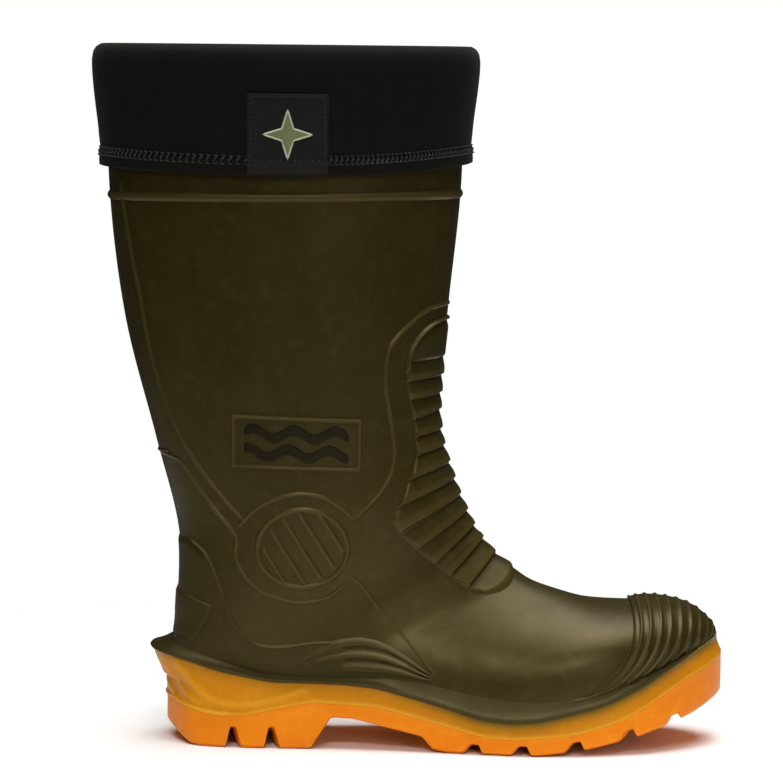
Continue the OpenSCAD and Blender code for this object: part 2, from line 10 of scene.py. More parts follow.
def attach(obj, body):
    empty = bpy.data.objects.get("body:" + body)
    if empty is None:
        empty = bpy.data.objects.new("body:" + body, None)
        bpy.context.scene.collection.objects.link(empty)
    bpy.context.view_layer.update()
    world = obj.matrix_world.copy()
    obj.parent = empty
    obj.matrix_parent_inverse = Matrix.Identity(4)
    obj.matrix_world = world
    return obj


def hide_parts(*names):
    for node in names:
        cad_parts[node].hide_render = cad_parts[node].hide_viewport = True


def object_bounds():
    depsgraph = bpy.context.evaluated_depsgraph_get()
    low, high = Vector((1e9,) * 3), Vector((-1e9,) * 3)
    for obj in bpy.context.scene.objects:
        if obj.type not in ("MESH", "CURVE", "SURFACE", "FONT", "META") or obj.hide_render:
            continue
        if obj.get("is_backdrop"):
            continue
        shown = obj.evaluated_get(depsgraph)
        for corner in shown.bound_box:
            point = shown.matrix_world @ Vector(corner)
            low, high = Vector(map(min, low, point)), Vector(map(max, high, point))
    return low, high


# A deck boot with a pull-out liner, folded down over the top of its leg. Lengths are in
# millimetres until a mesh is made.
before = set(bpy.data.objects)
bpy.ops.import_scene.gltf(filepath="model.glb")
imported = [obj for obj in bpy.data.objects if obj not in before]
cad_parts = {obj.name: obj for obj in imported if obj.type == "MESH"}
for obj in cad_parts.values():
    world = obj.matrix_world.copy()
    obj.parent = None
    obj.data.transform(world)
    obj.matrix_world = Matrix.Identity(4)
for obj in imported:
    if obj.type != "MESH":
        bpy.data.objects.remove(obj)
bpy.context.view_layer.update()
MM = 0.001
SIDES = (-1, 1)  # the outer side of the foot, towards -Y, and the inner side

# ---- Shell: the same stations as the CAD model

# back or bottom point x z, front or top point x z, half-width, sideways offset,
# flat share of the bottom, height of the widest line, lower and upper roundness
STATIONS = np.array([
    [-165.3, 376, 27.5, 376, 52, 0, 0.12, 0.50, 2.1, 2.1],
    [-165, 305, 27, 307, 52, 0, 0.12, 0.50, 2.1, 2.1],
    [-156, 233, 20.5, 238, 50, 0, 0.12, 0.50, 2.1, 2.1],
    [-139, 167, 16.2, 180, 46, 0, 0.12, 0.50, 2.1, 2.0],
    [-126, 115, 24, 146, 43, 0, 0.14, 0.45, 2.1, 1.95],
    [-126, 70, 35, 120, 39.5, 0, 0.22, 0.40, 2.3, 1.85],
    [-127, 52, 41, 111, 37.5, -0.3, 0.30, 0.36, 2.4, 1.85],
    [-118, 38, 48, 103, 36, -0.7, 0.45, 0.33, 2.5, 1.85],
    [-85, 31, 60, 94, 35.2, -1.6, 0.64, 0.29, 2.7, 1.85],
    [-48, 30, 69, 88.5, 36.5, -2.5, 0.68, 0.28, 2.7, 1.9],
    [-10, 26, 82, 84, 40.5, -3, 0.70, 0.28, 2.7, 1.9],
    [30, 18, 96, 80, 46.5, -2.7, 0.72, 0.30, 2.7, 2.0],
    [65, 15.5, 108, 78.4, 51, -2, 0.72, 0.32, 2.7, 2.1],
    [95, 17.5, 121, 77.6, 51, -1, 0.72, 0.34, 2.7, 2.2],
    [118, 22.5, 134, 77, 47, 0.8, 0.71, 0.37, 2.7, 2.3],
    [138, 30, 147, 74, 38.5, 2.2, 0.68, 0.39, 2.6, 2.35],
    [153, 40, 157, 69.5, 28, 3.4, 0.60, 0.42, 2.4, 2.3],
    [163, 48, 164.5, 63.5, 17, 4, 0.48, 0.44, 2.3, 2.2],
    [167.5, 54, 168, 59, 7, 4, 0.35, 0.46, 2.2, 2.1],
])
LAST = len(STATIONS) - 1
FLAT_END, WIDEST = 4 / 28, 0.5  # places on a half ring: the end of the flat, the widest line
LEG_END, CAP_START = 3, 13.2  # stations where the liner's leg ends and the toe cap starts
RIM = 376
SHELL_WALL, LINING_WALL, LINER_WALL = 3.0, 0.8, 4.0
CAP_ROOM, LINER_GAP, FOOTBED_ROOM = 1.8, 0.5, 5.5
SHELL_PLACES = 208  # places round the shell's rings
EMBED = 0.8  # how far moulded relief reaches into the shell

# The sole from above as x and y, then heights along x: the rand's top and bottom edge, the
# line between the amber and the orange layer, and the bottom of the tread.
SOLE_OUTLINE = np.array([
    [173.5, 4], [161, -25.5], [127, -48], [72, -56.8], [12, -48], [-50, -41.5],
    [-100, -38.5], [-130, -24], [-138.5, 0], [-130, 23], [-100, 35.5], [-50, 34],
    [12, 38.5], [72, 51.8], [127, 48.6], [161, 30.5],
])
RAND_TOP = [
    [-150, 60], [-127, 57], [-101, 47.5], [-80, 41], [-56, 39.5], [-15, 39.5], [7, 38],
    [29, 33], [51, 29], [73, 28.5], [95, 31.5], [117, 38.5], [146, 51], [168, 60], [180, 64],
]
RAND_BOTTOM = [
    [-150, 51], [-132, 49.5], [-103, 42], [-74, 36.5], [-34, 36], [-17, 34.5], [16, 26],
    [40, 19], [57, 17.5], [73, 19], [106, 27], [127, 36.5], [140, 44.5], [151, 51], [168, 58.2],
    [180, 61.6],
]
PARTING = [
    [-150, 24.5], [-132, 24], [-106, 17.5], [-89, 17.5], [-52, 25.5], [-17, 24], [16, 16],
    [40, 9.7], [57, 8.6], [90, 11.3], [107, 15.6], [118, 19.4], [129.5, 25.6], [141, 33.2],
    [149, 37.8], [157, 41.8], [165, 45.4], [180, 52],
]
TREAD = [
    [-150, 24], [-134, 12], [-118, 1], [-112, 0], [-52, 0], [-41, 17.5], [-29, 17],
    [8, 8.5], [14, 1.5], [22, 0], [72, 0], [97, 3.2], [126, 10], [156, 20], [180, 32],
]


def unit(v):
    return v / np.linalg.norm(v, axis=-1, keepdims=True)


def alike(*arrays):
    """Arrays of floats, spread to one shape."""
    return np.broadcast_arrays(*(np.asarray(a, float) for a in arrays))


def distances(points):
    """How far along a line each of its points lies."""
    return np.concatenate([[0], np.cumsum(np.linalg.norm(np.diff(points, axis=0), axis=1))])


def columns_at(at, known, points):
    return np.stack([np.interp(at, known, column) for column in points.T], -1)


def round_angles(count):
    return np.arange(count) * 2 * math.pi / count


def smooth(x):
    c = np.clip(x, 0, 1)
    return c * c * (3 - 2 * c)


def catmull(a, b, c, d, t):
    return 0.5 * (
        2 * b + (c - a) * t + (2 * a - 5 * b + 4 * c - d) * t * t
        + (3 * b - a - 3 * c + d) * t * t * t
    )


def table(x, rows):
    """A table's value at x, in straight steps."""
    rows = np.asarray(rows, float)
    return np.interp(x, rows[:, 0], rows[:, 1])


def eased(x, rows, width=5.0):
    """A table's value at x, with its corners rounded over a width."""
    offsets = np.linspace(-width, width, 9)
    return np.mean([table(np.asarray(x, float) + o, rows) for o in offsets], axis=0)


def station(u):
    u = np.clip(np.asarray(u, float), 0, LAST)
    i = np.minimum(u.astype(int), LAST - 1)
    t = (u - i)[..., None]
    rows = [STATIONS[np.clip(i + k, 0, LAST)] for k in (-1, 0, 1, 2)]
    return catmull(*rows, t)


def end_normals(u):
    """Outward normals, in the side view, of the shell's bottom line and top line."""
    a, b = station(u - 0.05), station(u + 0.05)
    low, high = unit(b[..., 0:2] - a[..., 0:2]), unit(b[..., 2:4] - a[..., 2:4])
    return np.stack([low[..., 1], -low[..., 0]], -1), np.stack([-high[..., 1], high[..., 0]], -1)


def share(h, r):
    """Sideways share of the half-width at height h of a section."""
    flat, widest, low_round, up_round = (r[..., k] for k in (6, 7, 8, 9))
    below = np.clip(1 - h / widest, 0, 1) ** (low_round / 2)
    low = flat + (1 - flat) * np.clip(1 - below**2, 0, 1) ** (1 / low_round)
    above = np.clip((h - widest) / (1 - widest), 0, 1) ** (up_round / 2)
    return np.where(h < widest, low, np.clip(1 - above**2, 0, 1) ** (1 / up_round))


def half_section(t, r):
    """Height and sideways share at place t of a half ring, t from 0 to 1."""
    flat, widest, low_round, up_round = (r[..., k] for k in (6, 7, 8, 9))
    a = np.clip((t - FLAT_END) / (WIDEST - FLAT_END), 0, 1) * math.pi / 2
    b = np.clip((t - WIDEST) / (1 - WIDEST), 0, 1) * math.pi / 2
    low = widest * (1 - np.clip(np.cos(a), 0, 1) ** (2 / low_round))
    high = widest + (1 - widest) * np.clip(np.sin(b), 0, 1) ** (2 / up_round)
    h = np.where(t < FLAT_END, 0, np.where(t < WIDEST, low, high))
    return h, np.where(t < FLAT_END, flat * t / FLAT_END, share(h, r))


def place(u, h, s, out, low_out=None):
    """Points at height h and sideways share s of section u, moved out from the shell."""
    low_out = out if low_out is None else low_out
    u, h, s, out, low_out = alike(u, h, s, out, low_out)
    r = station(u)
    low_normal, high_normal = end_normals(u)
    b = r[..., 0:2] + out[..., None] * low_normal
    f = r[..., 2:4] + out[..., None] * high_normal
    lift = (low_out - out) * np.clip(1 - h / r[..., 7], 0, None)
    p = b + (f - b) * h[..., None] + lift[..., None] * low_normal
    y = r[..., 5] + (r[..., 4] + out) * s
    return np.stack([p[..., 0], y, p[..., 1]], -1)


def rings(us, count, out, low_out=None):
    """Rings of the shell's surface, as an array of (station, place, 3)."""
    t = 2 * np.arange(count) / count
    us = np.asarray(us, float)[:, None]
    side = np.where(t > 1, 1, -1)
    h, s = half_section(np.where(t > 1, 2 - t, t)[None, :], station(us))
    column = lambda a: None if a is None else np.asarray(a, float).reshape(-1, 1)
    return place(us, h, side * s, column(out), column(low_out))


def even_stations(u0, u1, step):
    """Stations between u0 and u1, about a step apart along the shell."""
    u = np.linspace(u0, u1, 800)
    r = station(u)
    run = np.hypot(*np.diff(r[:, 0:2], axis=0).T) + np.hypot(*np.diff(r[:, 2:4], axis=0).T)
    along = np.concatenate([[0], np.cumsum(run / 2)])
    return np.interp(np.linspace(0, along[-1], int(along[-1] / step) + 1), along, u)


def on_side(x, z, side, out):
    """Points on the shell seen from the side at x, z, moved out along its normal."""
    x, z, side, out = alike(x, z, side, out)
    low, high = np.zeros(x.shape), np.full(x.shape, float(LAST))
    for _ in range(24):  # halvings
        mid = (low + high) / 2
        r = station(mid)
        cx, cz = r[..., 2] - r[..., 0], r[..., 3] - r[..., 1]
        above = cx * (z - r[..., 1]) - cz * (x - r[..., 0]) > 0
        high = np.where(above, mid, high)
        low = np.where(above, low, mid)
    r = station(mid)
    length = np.hypot(r[..., 2] - r[..., 0], r[..., 3] - r[..., 1])
    h = np.clip(np.hypot(x - r[..., 0], z - r[..., 1]) / length, 0, 1)
    return place(mid, h, side * share(h, r), out)


# Offsets of the layers inside the shell, at its sides and at its bottom.
def toe_room(u):
    return CAP_ROOM * smooth((u - CAP_START + 1.2) / 1.2)


def lined_side(u):
    return -SHELL_WALL - LINING_WALL - toe_room(u)


def lined_low(u):
    return -SHELL_WALL - LINING_WALL - np.maximum(toe_room(u), smooth((u - 5.4) / 1.2))


def liner_side(u):
    return lined_side(u) - LINER_GAP


def liner_low(u):
    return lined_low(u) - LINER_GAP - FOOTBED_ROOM * smooth((u - 4.8) / 1.8)


# ---- Meshes

def quads(a, b, c, d):
    return np.stack([a, b, c, d], -1).reshape(-1, 4)


def grid(ids):
    return quads(ids[:-1, :-1], ids[:-1, 1:], ids[1:, 1:], ids[1:, :-1])


def slab(top, bottom, painted_shading=None):
    """A closed solid between two grids of points, with values that lighten or darken the top as
    painted highlight and painted shade.
    """
    n, m = top.shape[:2]
    ids = np.arange(n * m).reshape(n, m)
    edge = np.concatenate([ids[0], ids[1:, -1], ids[-1, -2::-1], ids[-2:0:-1, 0]])
    following = np.roll(edge, -1)
    faces = np.concatenate([
        grid(ids), grid(ids + n * m)[:, ::-1],
        quads(edge, edge + n * m, following + n * m, following),
    ])
    tones = np.zeros(2 * n * m)
    if painted_shading is not None:
        tones[: n * m] = np.broadcast_to(painted_shading, (n, m)).ravel()
    return np.concatenate([top.reshape(-1, 3), bottom.reshape(-1, 3)]), faces.tolist(), tones


def loft(points, loop=False, painted_shading=None):
    """A closed solid through rings of points: a loop, or with a lid at each end."""
    n, m = points.shape[:2]
    ids = np.arange(n * m).reshape(n, m)
    ids = np.concatenate([ids, ids[:, :1]], axis=1)
    verts = points.reshape(-1, 3)
    tones = np.zeros(n * m) if painted_shading is None else np.broadcast_to(painted_shading, (n, m)).ravel()
    if loop:
        return verts, grid(np.concatenate([ids, ids[:1]])).tolist(), tones
    faces = grid(ids).tolist()
    faces += [[n * m, ids[0, j + 1], ids[0, j]] for j in range(m)]
    faces += [[n * m + 1, ids[-1, j], ids[-1, j + 1]] for j in range(m)]
    verts = np.concatenate([verts, points[[0, -1]].mean(axis=1)])
    return verts, faces, np.concatenate([tones, [0, 0]])


def tube(line, radius, closed=False, around=8):
    """A round thread along a line of points."""
    line = np.asarray(line, float)
    ahead = np.roll(line, -1, axis=0) - np.roll(line, 1, axis=0)
    if not closed:
        ahead[0], ahead[-1] = line[1] - line[0], line[-1] - line[-2]
    ahead = unit(ahead)
    up = np.where(np.abs(ahead[:, 2:3]) > 0.95, [[0, 1.0, 0]], [[0, 0, 1.0]])
    across = unit(np.cross(ahead, up))
    other = np.cross(ahead, across)
    a = round_angles(around)[:, None]
    radius = np.broadcast_to(radius, (len(line),))[:, None, None]
    ring = across[:, None] * np.cos(a) + other[:, None] * np.sin(a)
    return loft(line[:, None] + radius * ring, loop=closed)


def smooth_line(points, step, closed=False):
    """A smooth curve through points, with places about a step apart."""
    p = np.asarray(points, float)
    n = len(p)
    spans = n if closed else n - 1
    fine = []
    for i in range(spans):
        rows = [p[(i + k) % n] if closed else p[min(max(i + k, 0), n - 1)] for k in (-1, 0, 1, 2)]
        fine.append(catmull(*rows, np.linspace(0, 1, 40, endpoint=False)[:, None]))
    fine = np.concatenate(fine + [p[:1] if closed else p[-1:]])
    run = distances(fine)
    at = np.linspace(0, run[-1], max(int(run[-1] / step), 3) + 1, endpoint=not closed)
    return columns_at(at, run, fine)


BEAD_STEP, BEAD_HEIGHT, BEAD_TAPER = 1.4, 0.9, 4.0  # taper: places from an end to full height
BEAD_DEEP, BEAD_EDGE = -0.9, -0.15  # how far out a bead's bottom and its long edges lie
BELL_AT = np.array([-1, -0.72, -0.45, -0.2, 0, 0.2, 0.45, 0.72, 1])
BELL = np.cos(BELL_AT * math.pi / 2) ** 1.4


def side_line(points, side):
    """A line drawn on the side view, with places evenly apart on the shell."""
    flat = smooth_line(points, 0.3)
    run = distances(on_side(flat[:, 0], flat[:, 1], side, 0))
    return columns_at(np.linspace(0, run[-1], max(int(run[-1] / BEAD_STEP), 3) + 1), run, flat)


def bead(points, side, width=2.6, height=BEAD_HEIGHT, closed=False):
    """A moulded bead with a bell section, along a line drawn on the side view."""
    line = smooth_line(points, BEAD_STEP, closed=True) if closed else side_line(points, side)
    ahead = np.gradient(line, axis=0)
    if closed:
        ahead = np.roll(line, -1, axis=0) - np.roll(line, 1, axis=0)
    ahead = unit(ahead)
    place_in_line = np.arange(len(line))
    ends = smooth(np.minimum(place_in_line, place_in_line[::-1]) / BEAD_TAPER + 0.15)[:, None]
    if closed:
        ends = np.ones_like(ends)
    x = line[:, 0, None] - ahead[:, 1, None] * BELL_AT * width / 2
    z = line[:, 1, None] + ahead[:, 0, None] * BELL_AT * width / 2
    top = on_side(x, z, side, BEAD_EDGE + (height - BEAD_EDGE) * ends * BELL)
    # painted highlight along the bead's crown, fading at its ends
    bottom, painted_shading = on_side(x, z, side, BEAD_DEEP), 0.6 * BELL * ends
    if not closed:
        return slab(top, bottom, painted_shading=painted_shading)
    section = np.concatenate([top, bottom[:, ::-1]], axis=1)
    return loft(section, loop=True, painted_shading=np.concatenate([painted_shading, 0 * painted_shading], axis=1))


def raised(x, z, side, out, painted_shading=None, deep=-EMBED):
    """Relief on the shell: its top lies out from it, its bottom at deep."""
    return slab(on_side(x, z, side, out), on_side(x, z, side, deep), painted_shading=painted_shading)


def outward(verts, faces):
    """The faces, turned round if the solid is inside out."""
    corners = np.array([f[:3] for f in faces] + [[f[0], f[2], f[3]] for f in faces if len(f) == 4])
    a, b, c = (verts[corners[:, k]] for k in range(3))
    return faces if (a * np.cross(b, c)).sum() > 0 else [face[::-1] for face in faces]


def piece(name, parts, material, body, slot, replaces=(), sharp=42, tint=None):
    """Makes one object from solids, gives it its finish and lets it ride on a body."""
    verts, faces, tones, count = [], [], [], 0
    for v, f, t in parts:
        verts.append(v)
        tones.append(t)
        faces += [[i + count for i in face] for face in outward(v, f)]
        count += len(v)
    mesh = bpy.data.meshes.new(name)
    mesh.from_pydata((np.concatenate(verts) * MM).tolist(), [], faces)
    for key, values in (("painted_shading", np.concatenate(tones)), ("tint", tint)):
        if values is not None:
            attribute = mesh.attributes.new(key, "FLOAT", "POINT")
            attribute.data.foreach_set("value", values.astype(np.float32))
    bm = bmesh.new()
    bm.from_mesh(mesh)
    bmesh.ops.remove_doubles(bm, verts=bm.verts, dist=2e-6)
    bmesh.ops.dissolve_degenerate(bm, edges=bm.edges, dist=1e-6)
    bm.to_mesh(mesh)
    bm.free()
    mesh.polygons.foreach_set("use_smooth", np.ones(len(mesh.polygons), bool))
    mesh.set_sharp_from_angle(angle=math.radians(sharp))
    mesh.materials.append(material)
    obj = bpy.data.objects.new(name, mesh)
    bpy.context.scene.collection.objects.link(obj)
    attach(obj, body)
    if replaces:
        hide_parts(*replaces)
    return obj


# ---- Camera and light

def look(obj, target, roll=0.0):
    turn = (Vector(target) - obj.location).to_track_quat("-Z", "Y").to_matrix()
    obj.rotation_euler = (turn @ Matrix.Rotation(roll, 3, "Z")).to_euler()


scene = bpy.context.scene
camera = bpy.data.objects.new("camera", bpy.data.cameras.new("camera"))
scene.collection.objects.link(camera)
scene.camera = camera
camera.data.lens, camera.data.sensor_width = 168, 36
camera.location = (-0.010, -2.0, 0.388)
look(camera, (-0.010, 0, 0.192), roll=math.radians(0.6))

scene.view_settings.view_transform = "Standard"


def softbox(name, place_m, target_m, size, energy, spread):
    """A soft light: place, target and size in metres, energy in watts, spread in degrees."""
    data = bpy.data.lights.new(name, "AREA")
    data.shape = "RECTANGLE"
    data.size, data.size_y = size
    data.energy = energy
    data.spread = math.radians(spread)
    obj = bpy.data.objects.new(name, data)
    scene.collection.objects.link(obj)
    obj.location = place_m
    look(obj, target_m)


softbox("top_light", (0.1, -0.05, 1.7), (0.06, 0, 0), (1.7, 1.5), 14, 80)
softbox("foot_light", (0.5, -1.7, 0.5), (0.08, 0, -0.03), (0.7, 0.4), 0.2, 40)
softbox("sheen_light", (-0.08, -1.25, 0.98), (0, 0, 0.05), (0.5, 0.14), 0.4, 45)


def studio_world(shown, fill):
    """A white surround behind the object that adds only a little light to it."""
    world = bpy.data.worlds.new("studio")
    world.use_nodes = True
    nodes, links = world.node_tree.nodes, world.node_tree.links
    dim, white = nodes["Background"], nodes.new("ShaderNodeBackground")
    for background, strength in ((dim, fill), (white, shown)):
        background.inputs["Color"].default_value = (1, 1, 1, 1)
        background.inputs["Strength"].default_value = strength
    pick, path = nodes.new("ShaderNodeMixShader"), nodes.new("ShaderNodeLightPath")
    links.new(path.outputs["Is Camera Ray"], pick.inputs[0])
    links.new(dim.outputs[0], pick.inputs[1])
    links.new(white.outputs[0], pick.inputs[2])
    links.new(pick.outputs[0], nodes["World Output"].inputs["Surface"])
    return world


scene.world = studio_world(shown=1.0, fill=0.04)


# ---- Materials

def srgb(r, g, b):
    """A colour from 0 to 255 a channel, as the shader wants it."""
    def linear(c):
        c /= 255
        return c / 12.92 if c <= 0.04045 else ((c + 0.055) / 1.055) ** 2.4
    return (linear(r), linear(g), linear(b), 1)


class Shader:
    """A material's node tree, with short calls for the nodes used here."""

    def __init__(self, name, **finish):
        self.material = bpy.data.materials.new(name)
        self.material.use_nodes = True
        self.tree = self.material.node_tree
        self.surface = self.tree.nodes["Principled BSDF"]
        for socket, value in finish.items():
            self.surface.inputs[socket.replace("_", " ")].default_value = value
        self.place = self.node("TexCoord").outputs["Object"]
        self.heights = []

    def feed(self, socket, value):
        if isinstance(value, bpy.types.NodeSocket):
            self.tree.links.new(value, socket)
        else:
            socket.default_value = value

    def node(self, kind, inputs=None, **settings):
        """A new node. Its inputs are numbers or the outputs of other nodes."""
        n = self.tree.nodes.new("ShaderNode" + kind)
        for key, value in settings.items():
            setattr(n, key, value)
        for key, value in (inputs or {}).items():
            self.feed(n.inputs[key], value)
        return n

    def texture(self, kind, output, inputs, stretch=(1, 1, 1), **settings):
        mapping = self.node("Mapping", {"Scale": stretch, "Vector": self.place})
        inputs = {**inputs, "Vector": mapping.outputs["Vector"]}
        return self.node("Tex" + kind, inputs, **settings).outputs[output]

    def noise(self, scale, detail=4.0, rough=0.55, stretch=(1, 1, 1), warp=0.0):
        inputs = {"Scale": scale, "Detail": detail, "Roughness": rough, "Distortion": warp}
        return self.texture("Noise", "Fac", inputs, stretch)

    def waves(self, scale, direction="X", warp=0.0):
        inputs = {"Scale": scale, "Distortion": warp}
        return self.texture("Wave", "Fac", inputs, bands_direction=direction)

    def cells(self, scale, stretch=(1, 1, 1)):
        return self.texture("Voronoi", "Distance", {"Scale": scale}, stretch, feature="F1")

    def math(self, operation, a, b=0.0):
        return self.node("Math", {0: a, 1: b}, operation=operation).outputs[0]

    def fit(self, value, low, high, to_low=0.0, to_high=1.0):
        inputs = {"Value": value, "From Min": low, "From Max": high}
        inputs |= {"To Min": to_low, "To Max": to_high}
        return self.node("MapRange", inputs).outputs["Result"]

    def mix(self, amount, a, b):
        """A mix of two colours, each an output or three channels from 0 to 255."""
        a, b = (srgb(*colour) if isinstance(colour, tuple) else colour for colour in (a, b))
        inputs = {"Factor": amount, "A": a, "B": b}
        return self.node("Mix", inputs, data_type="RGBA").outputs["Result"]

    def attribute(self, name):
        return self.node("Attribute", attribute_name=name).outputs["Fac"]

    def edges(self):
        return self.node("NewGeometry").outputs["Pointiness"]

    def bump(self, height, distance_mm, strength=1.0):
        self.heights.append((height, distance_mm * MM, strength))

    def finish(self, colour, roughness):
        sockets = {"Base Color": colour, "Roughness": roughness}
        for height, distance, strength in self.heights:
            inputs = {"Strength": strength, "Distance": distance, "Height": height}
            if "Normal" in sockets:
                inputs["Normal"] = sockets["Normal"]
            sockets["Normal"] = self.node("Bump", inputs).outputs["Normal"]
        for key, value in sockets.items():
            self.feed(self.surface.inputs[key], value)
        return self.material


def moulded(name, base, deep, pale, roughness=0.36, grain=0.03, tint=None):
    """Moulded PVC: cloudy colour, edges lightened as rubbed wear and painted highlight, painted
    highlight on crowns and painted shade in grooves and joins, and a fine skin.
    """
    s = Shader(name, Specular_IOR_Level=0.3, Specular_Tint=(1.0, 0.8, 0.4, 1))
    colour = s.mix(s.fit(s.noise(9, 3, 0.5, warp=0.4), 0.3, 0.75, 0, 0.7), base, deep)
    colour = s.mix(s.fit(s.noise(160, 3), 0.5, 0.85, 0, 0.35), colour, pale)
    # painted highlight and painted shade from the mesh: lighter on crowns and lips, darker in
    # grooves, joins and under lips
    painted_shading = s.attribute("painted_shading")
    colour = s.mix(s.fit(painted_shading, 0.0, 1.0, 0, 0.75), colour, pale)
    colour = s.mix(s.fit(painted_shading, 0.0, -1.0, 0, 0.85), colour, deep)
    if tint is not None:
        colour = s.mix(s.attribute("tint"), colour, tint)
    # pointiness lightens sharp edges: partly rubbed wear, partly painted highlight
    colour = s.mix(s.fit(s.edges(), 0.53, 0.62, 0, 0.4), colour, pale)
    scuffs = s.fit(s.noise(60, 6, 0.7, stretch=(1, 1, 0.25), warp=1.5), 0.62, 0.75)
    rough = s.fit(s.noise(45, 4), 0.3, 0.7, roughness - 0.05, roughness + 0.07)
    rough = s.math("ADD", rough, s.math("MULTIPLY", scuffs, 0.1))
    s.bump(s.noise(2200, 2), grain, 0.6)
    s.bump(s.noise(90, 3), 0.25, 0.35)
    return s.finish(colour, rough)


def knitted(name, base, pale, pitch_mm=0.9, depth=0.22, roughness=0.85, sheen=0.35):
    """Fine knit over foam: rows of small loops, a soft sheen and slight pilling."""
    s = Shader(
        name, Sheen_Weight=sheen, Sheen_Roughness=0.45, Specular_IOR_Level=0.12,
        Sheen_Tint=(0.75, 0.72, 0.68, 1),
    )
    scale = 1 / (pitch_mm * MM)
    loops = s.cells(scale, stretch=(1, 1, 0.72))
    rows = s.waves(scale * 0.32, "Z", warp=0.8)
    weave = s.math("ADD", s.math("MULTIPLY", loops, 0.7), s.math("MULTIPLY", rows, 0.5))
    cloud = s.fit(s.noise(22, 6, 0.7), 0.36, 0.66)
    colour = s.mix(s.math("MULTIPLY", cloud, 0.8), base, pale)
    colour = s.mix(s.fit(weave, 0.35, 0.9, 0, 0.5), colour, pale)
    colour = s.mix(s.fit(s.noise(700, 2), 0.66, 0.8, 0, 0.5), colour, pale)
    s.bump(weave, depth, 0.8)
    s.bump(s.noise(60, 4), 0.6, 0.4)
    return s.finish(colour, s.fit(cloud, 0, 1, roughness - 0.06, roughness + 0.06))


def woven(name, base, pale, pitch_mm=0.45):
    """A tight ribbon weave."""
    s = Shader(name, Sheen_Weight=0.06, Sheen_Roughness=0.4, Specular_IOR_Level=0.2)
    scale = 0.32 / (pitch_mm * MM)
    warp_threads = s.waves(scale, "X")
    weft = s.waves(scale * 1.6, "Z")
    weave = s.math("ADD", s.math("MULTIPLY", warp_threads, 0.6), s.math("MULTIPLY", weft, 0.4))
    colour = s.mix(s.fit(weave, 0.2, 0.9, 0, 0.8), base, pale)
    colour = s.mix(s.fit(s.noise(90, 4), 0.45, 0.75, 0, 0.4), colour, pale)
    s.bump(weave, 0.12, 0.9)
    return s.finish(colour, s.fit(s.noise(300, 2), 0.3, 0.7, 0.65, 0.8))


def thread_finish(name, base, pale):
    """Twisted polyester thread."""
    s = Shader(name, Sheen_Weight=0.3, Sheen_Roughness=0.35, Specular_IOR_Level=0.45)
    twist = s.waves(900, "DIAGONAL", warp=0.4)
    colour = s.mix(s.fit(twist, 0.2, 0.9), base, pale)
    colour = s.mix(s.fit(s.noise(260, 3), 0.5, 0.8, 0, 0.4), colour, base)
    s.bump(twist, 0.08, 0.8)
    return s.finish(colour, s.fit(s.noise(500, 2), 0.3, 0.7, 0.5, 0.66))


def plated(name):
    """Galvanised sheet steel with a faint spangle and drawing marks."""
    s = Shader(name, Metallic=1.0)
    spangle = s.cells(260)
    marks = s.noise(90, 5, 0.6, stretch=(0.15, 1, 1))
    colour = s.mix(s.fit(spangle, 0.1, 0.7), (150, 154, 158), (196, 199, 202))
    colour = s.mix(s.fit(marks, 0.55, 0.75, 0, 0.5), colour, (120, 116, 108))
    s.bump(marks, 0.05, 0.5)
    return s.finish(colour, s.fit(marks, 0.3, 0.7, 0.32, 0.5))


def fibre(name, base, pale, fleck):
    """Pressed fibre board or open foam, with flecks."""
    s = Shader(name, Specular_IOR_Level=0.25)
    colour = s.mix(s.fit(s.noise(400, 5, 0.7, stretch=(0.3, 1, 1)), 0.35, 0.7), base, pale)
    colour = s.mix(s.fit(s.cells(900), 0.0, 0.25, 0.6, 0), colour, fleck)
    s.bump(s.noise(1200, 3), 0.12, 0.7)
    return s.finish(colour, s.fit(s.noise(200, 3), 0.3, 0.7, 0.8, 0.95))


OLIVE = moulded("shell_pvc", (49, 42, 15), (41, 34, 10), (78, 68, 34))
DARK_OLIVE = moulded("counter_pvc", (48, 41, 14), (34, 28, 8), (72, 62, 30), roughness=0.5)
BADGE_BLACK = moulded("badge_field", (9, 8, 5), (5, 4, 3), (20, 18, 11), roughness=0.42,
                      grain=0.12)
AMBER = moulded("midsole_amber", (206, 130, 6), (190, 116, 4), (228, 164, 34),
                roughness=0.45, tint=(84, 74, 8))
ORANGE = moulded("outsole_orange", (238, 134, 6), (224, 114, 3), (250, 160, 40),
                 roughness=0.45)
KNIT = knitted("liner_knit", (10, 10, 8), (20, 19, 16), sheen=0.06)
LINING = knitted("lining_textile", (52, 51, 48), (84, 82, 76), pitch_mm=0.7, depth=0.15,
                 roughness=0.9, sheen=0.2)
HEM_THREAD = thread_finish("hem_thread", (19, 18, 15), (36, 33, 28))
LABEL = woven("label_textile", (19, 18, 15), (30, 28, 24))
LABEL_THREAD = thread_finish("label_thread", (19, 18, 15), (30, 28, 24))
EMBLEM = woven("emblem_thread", (112, 116, 76), (150, 154, 106), pitch_mm=0.6)
EMBLEM_EDGE = thread_finish("emblem_edge_thread", (190, 190, 170), (226, 226, 208))
FOAM = fibre("footbed_foam", (28, 28, 30), (46, 46, 50), (12, 12, 14))
BOARD = fibre("board_fibre", (124, 104, 78), (156, 136, 104), (82, 66, 46))
STEEL = plated("plate_steel")

# Material, body and slot of the pieces that share all three.
SHELL_PVC = OLIVE, "boot", "shell_pvc"
COUNTER_PVC = DARK_OLIVE, "boot", "counter_pvc"
LINER_FABRIC = KNIT, "liner", "liner_fabric"

# ---- Upper

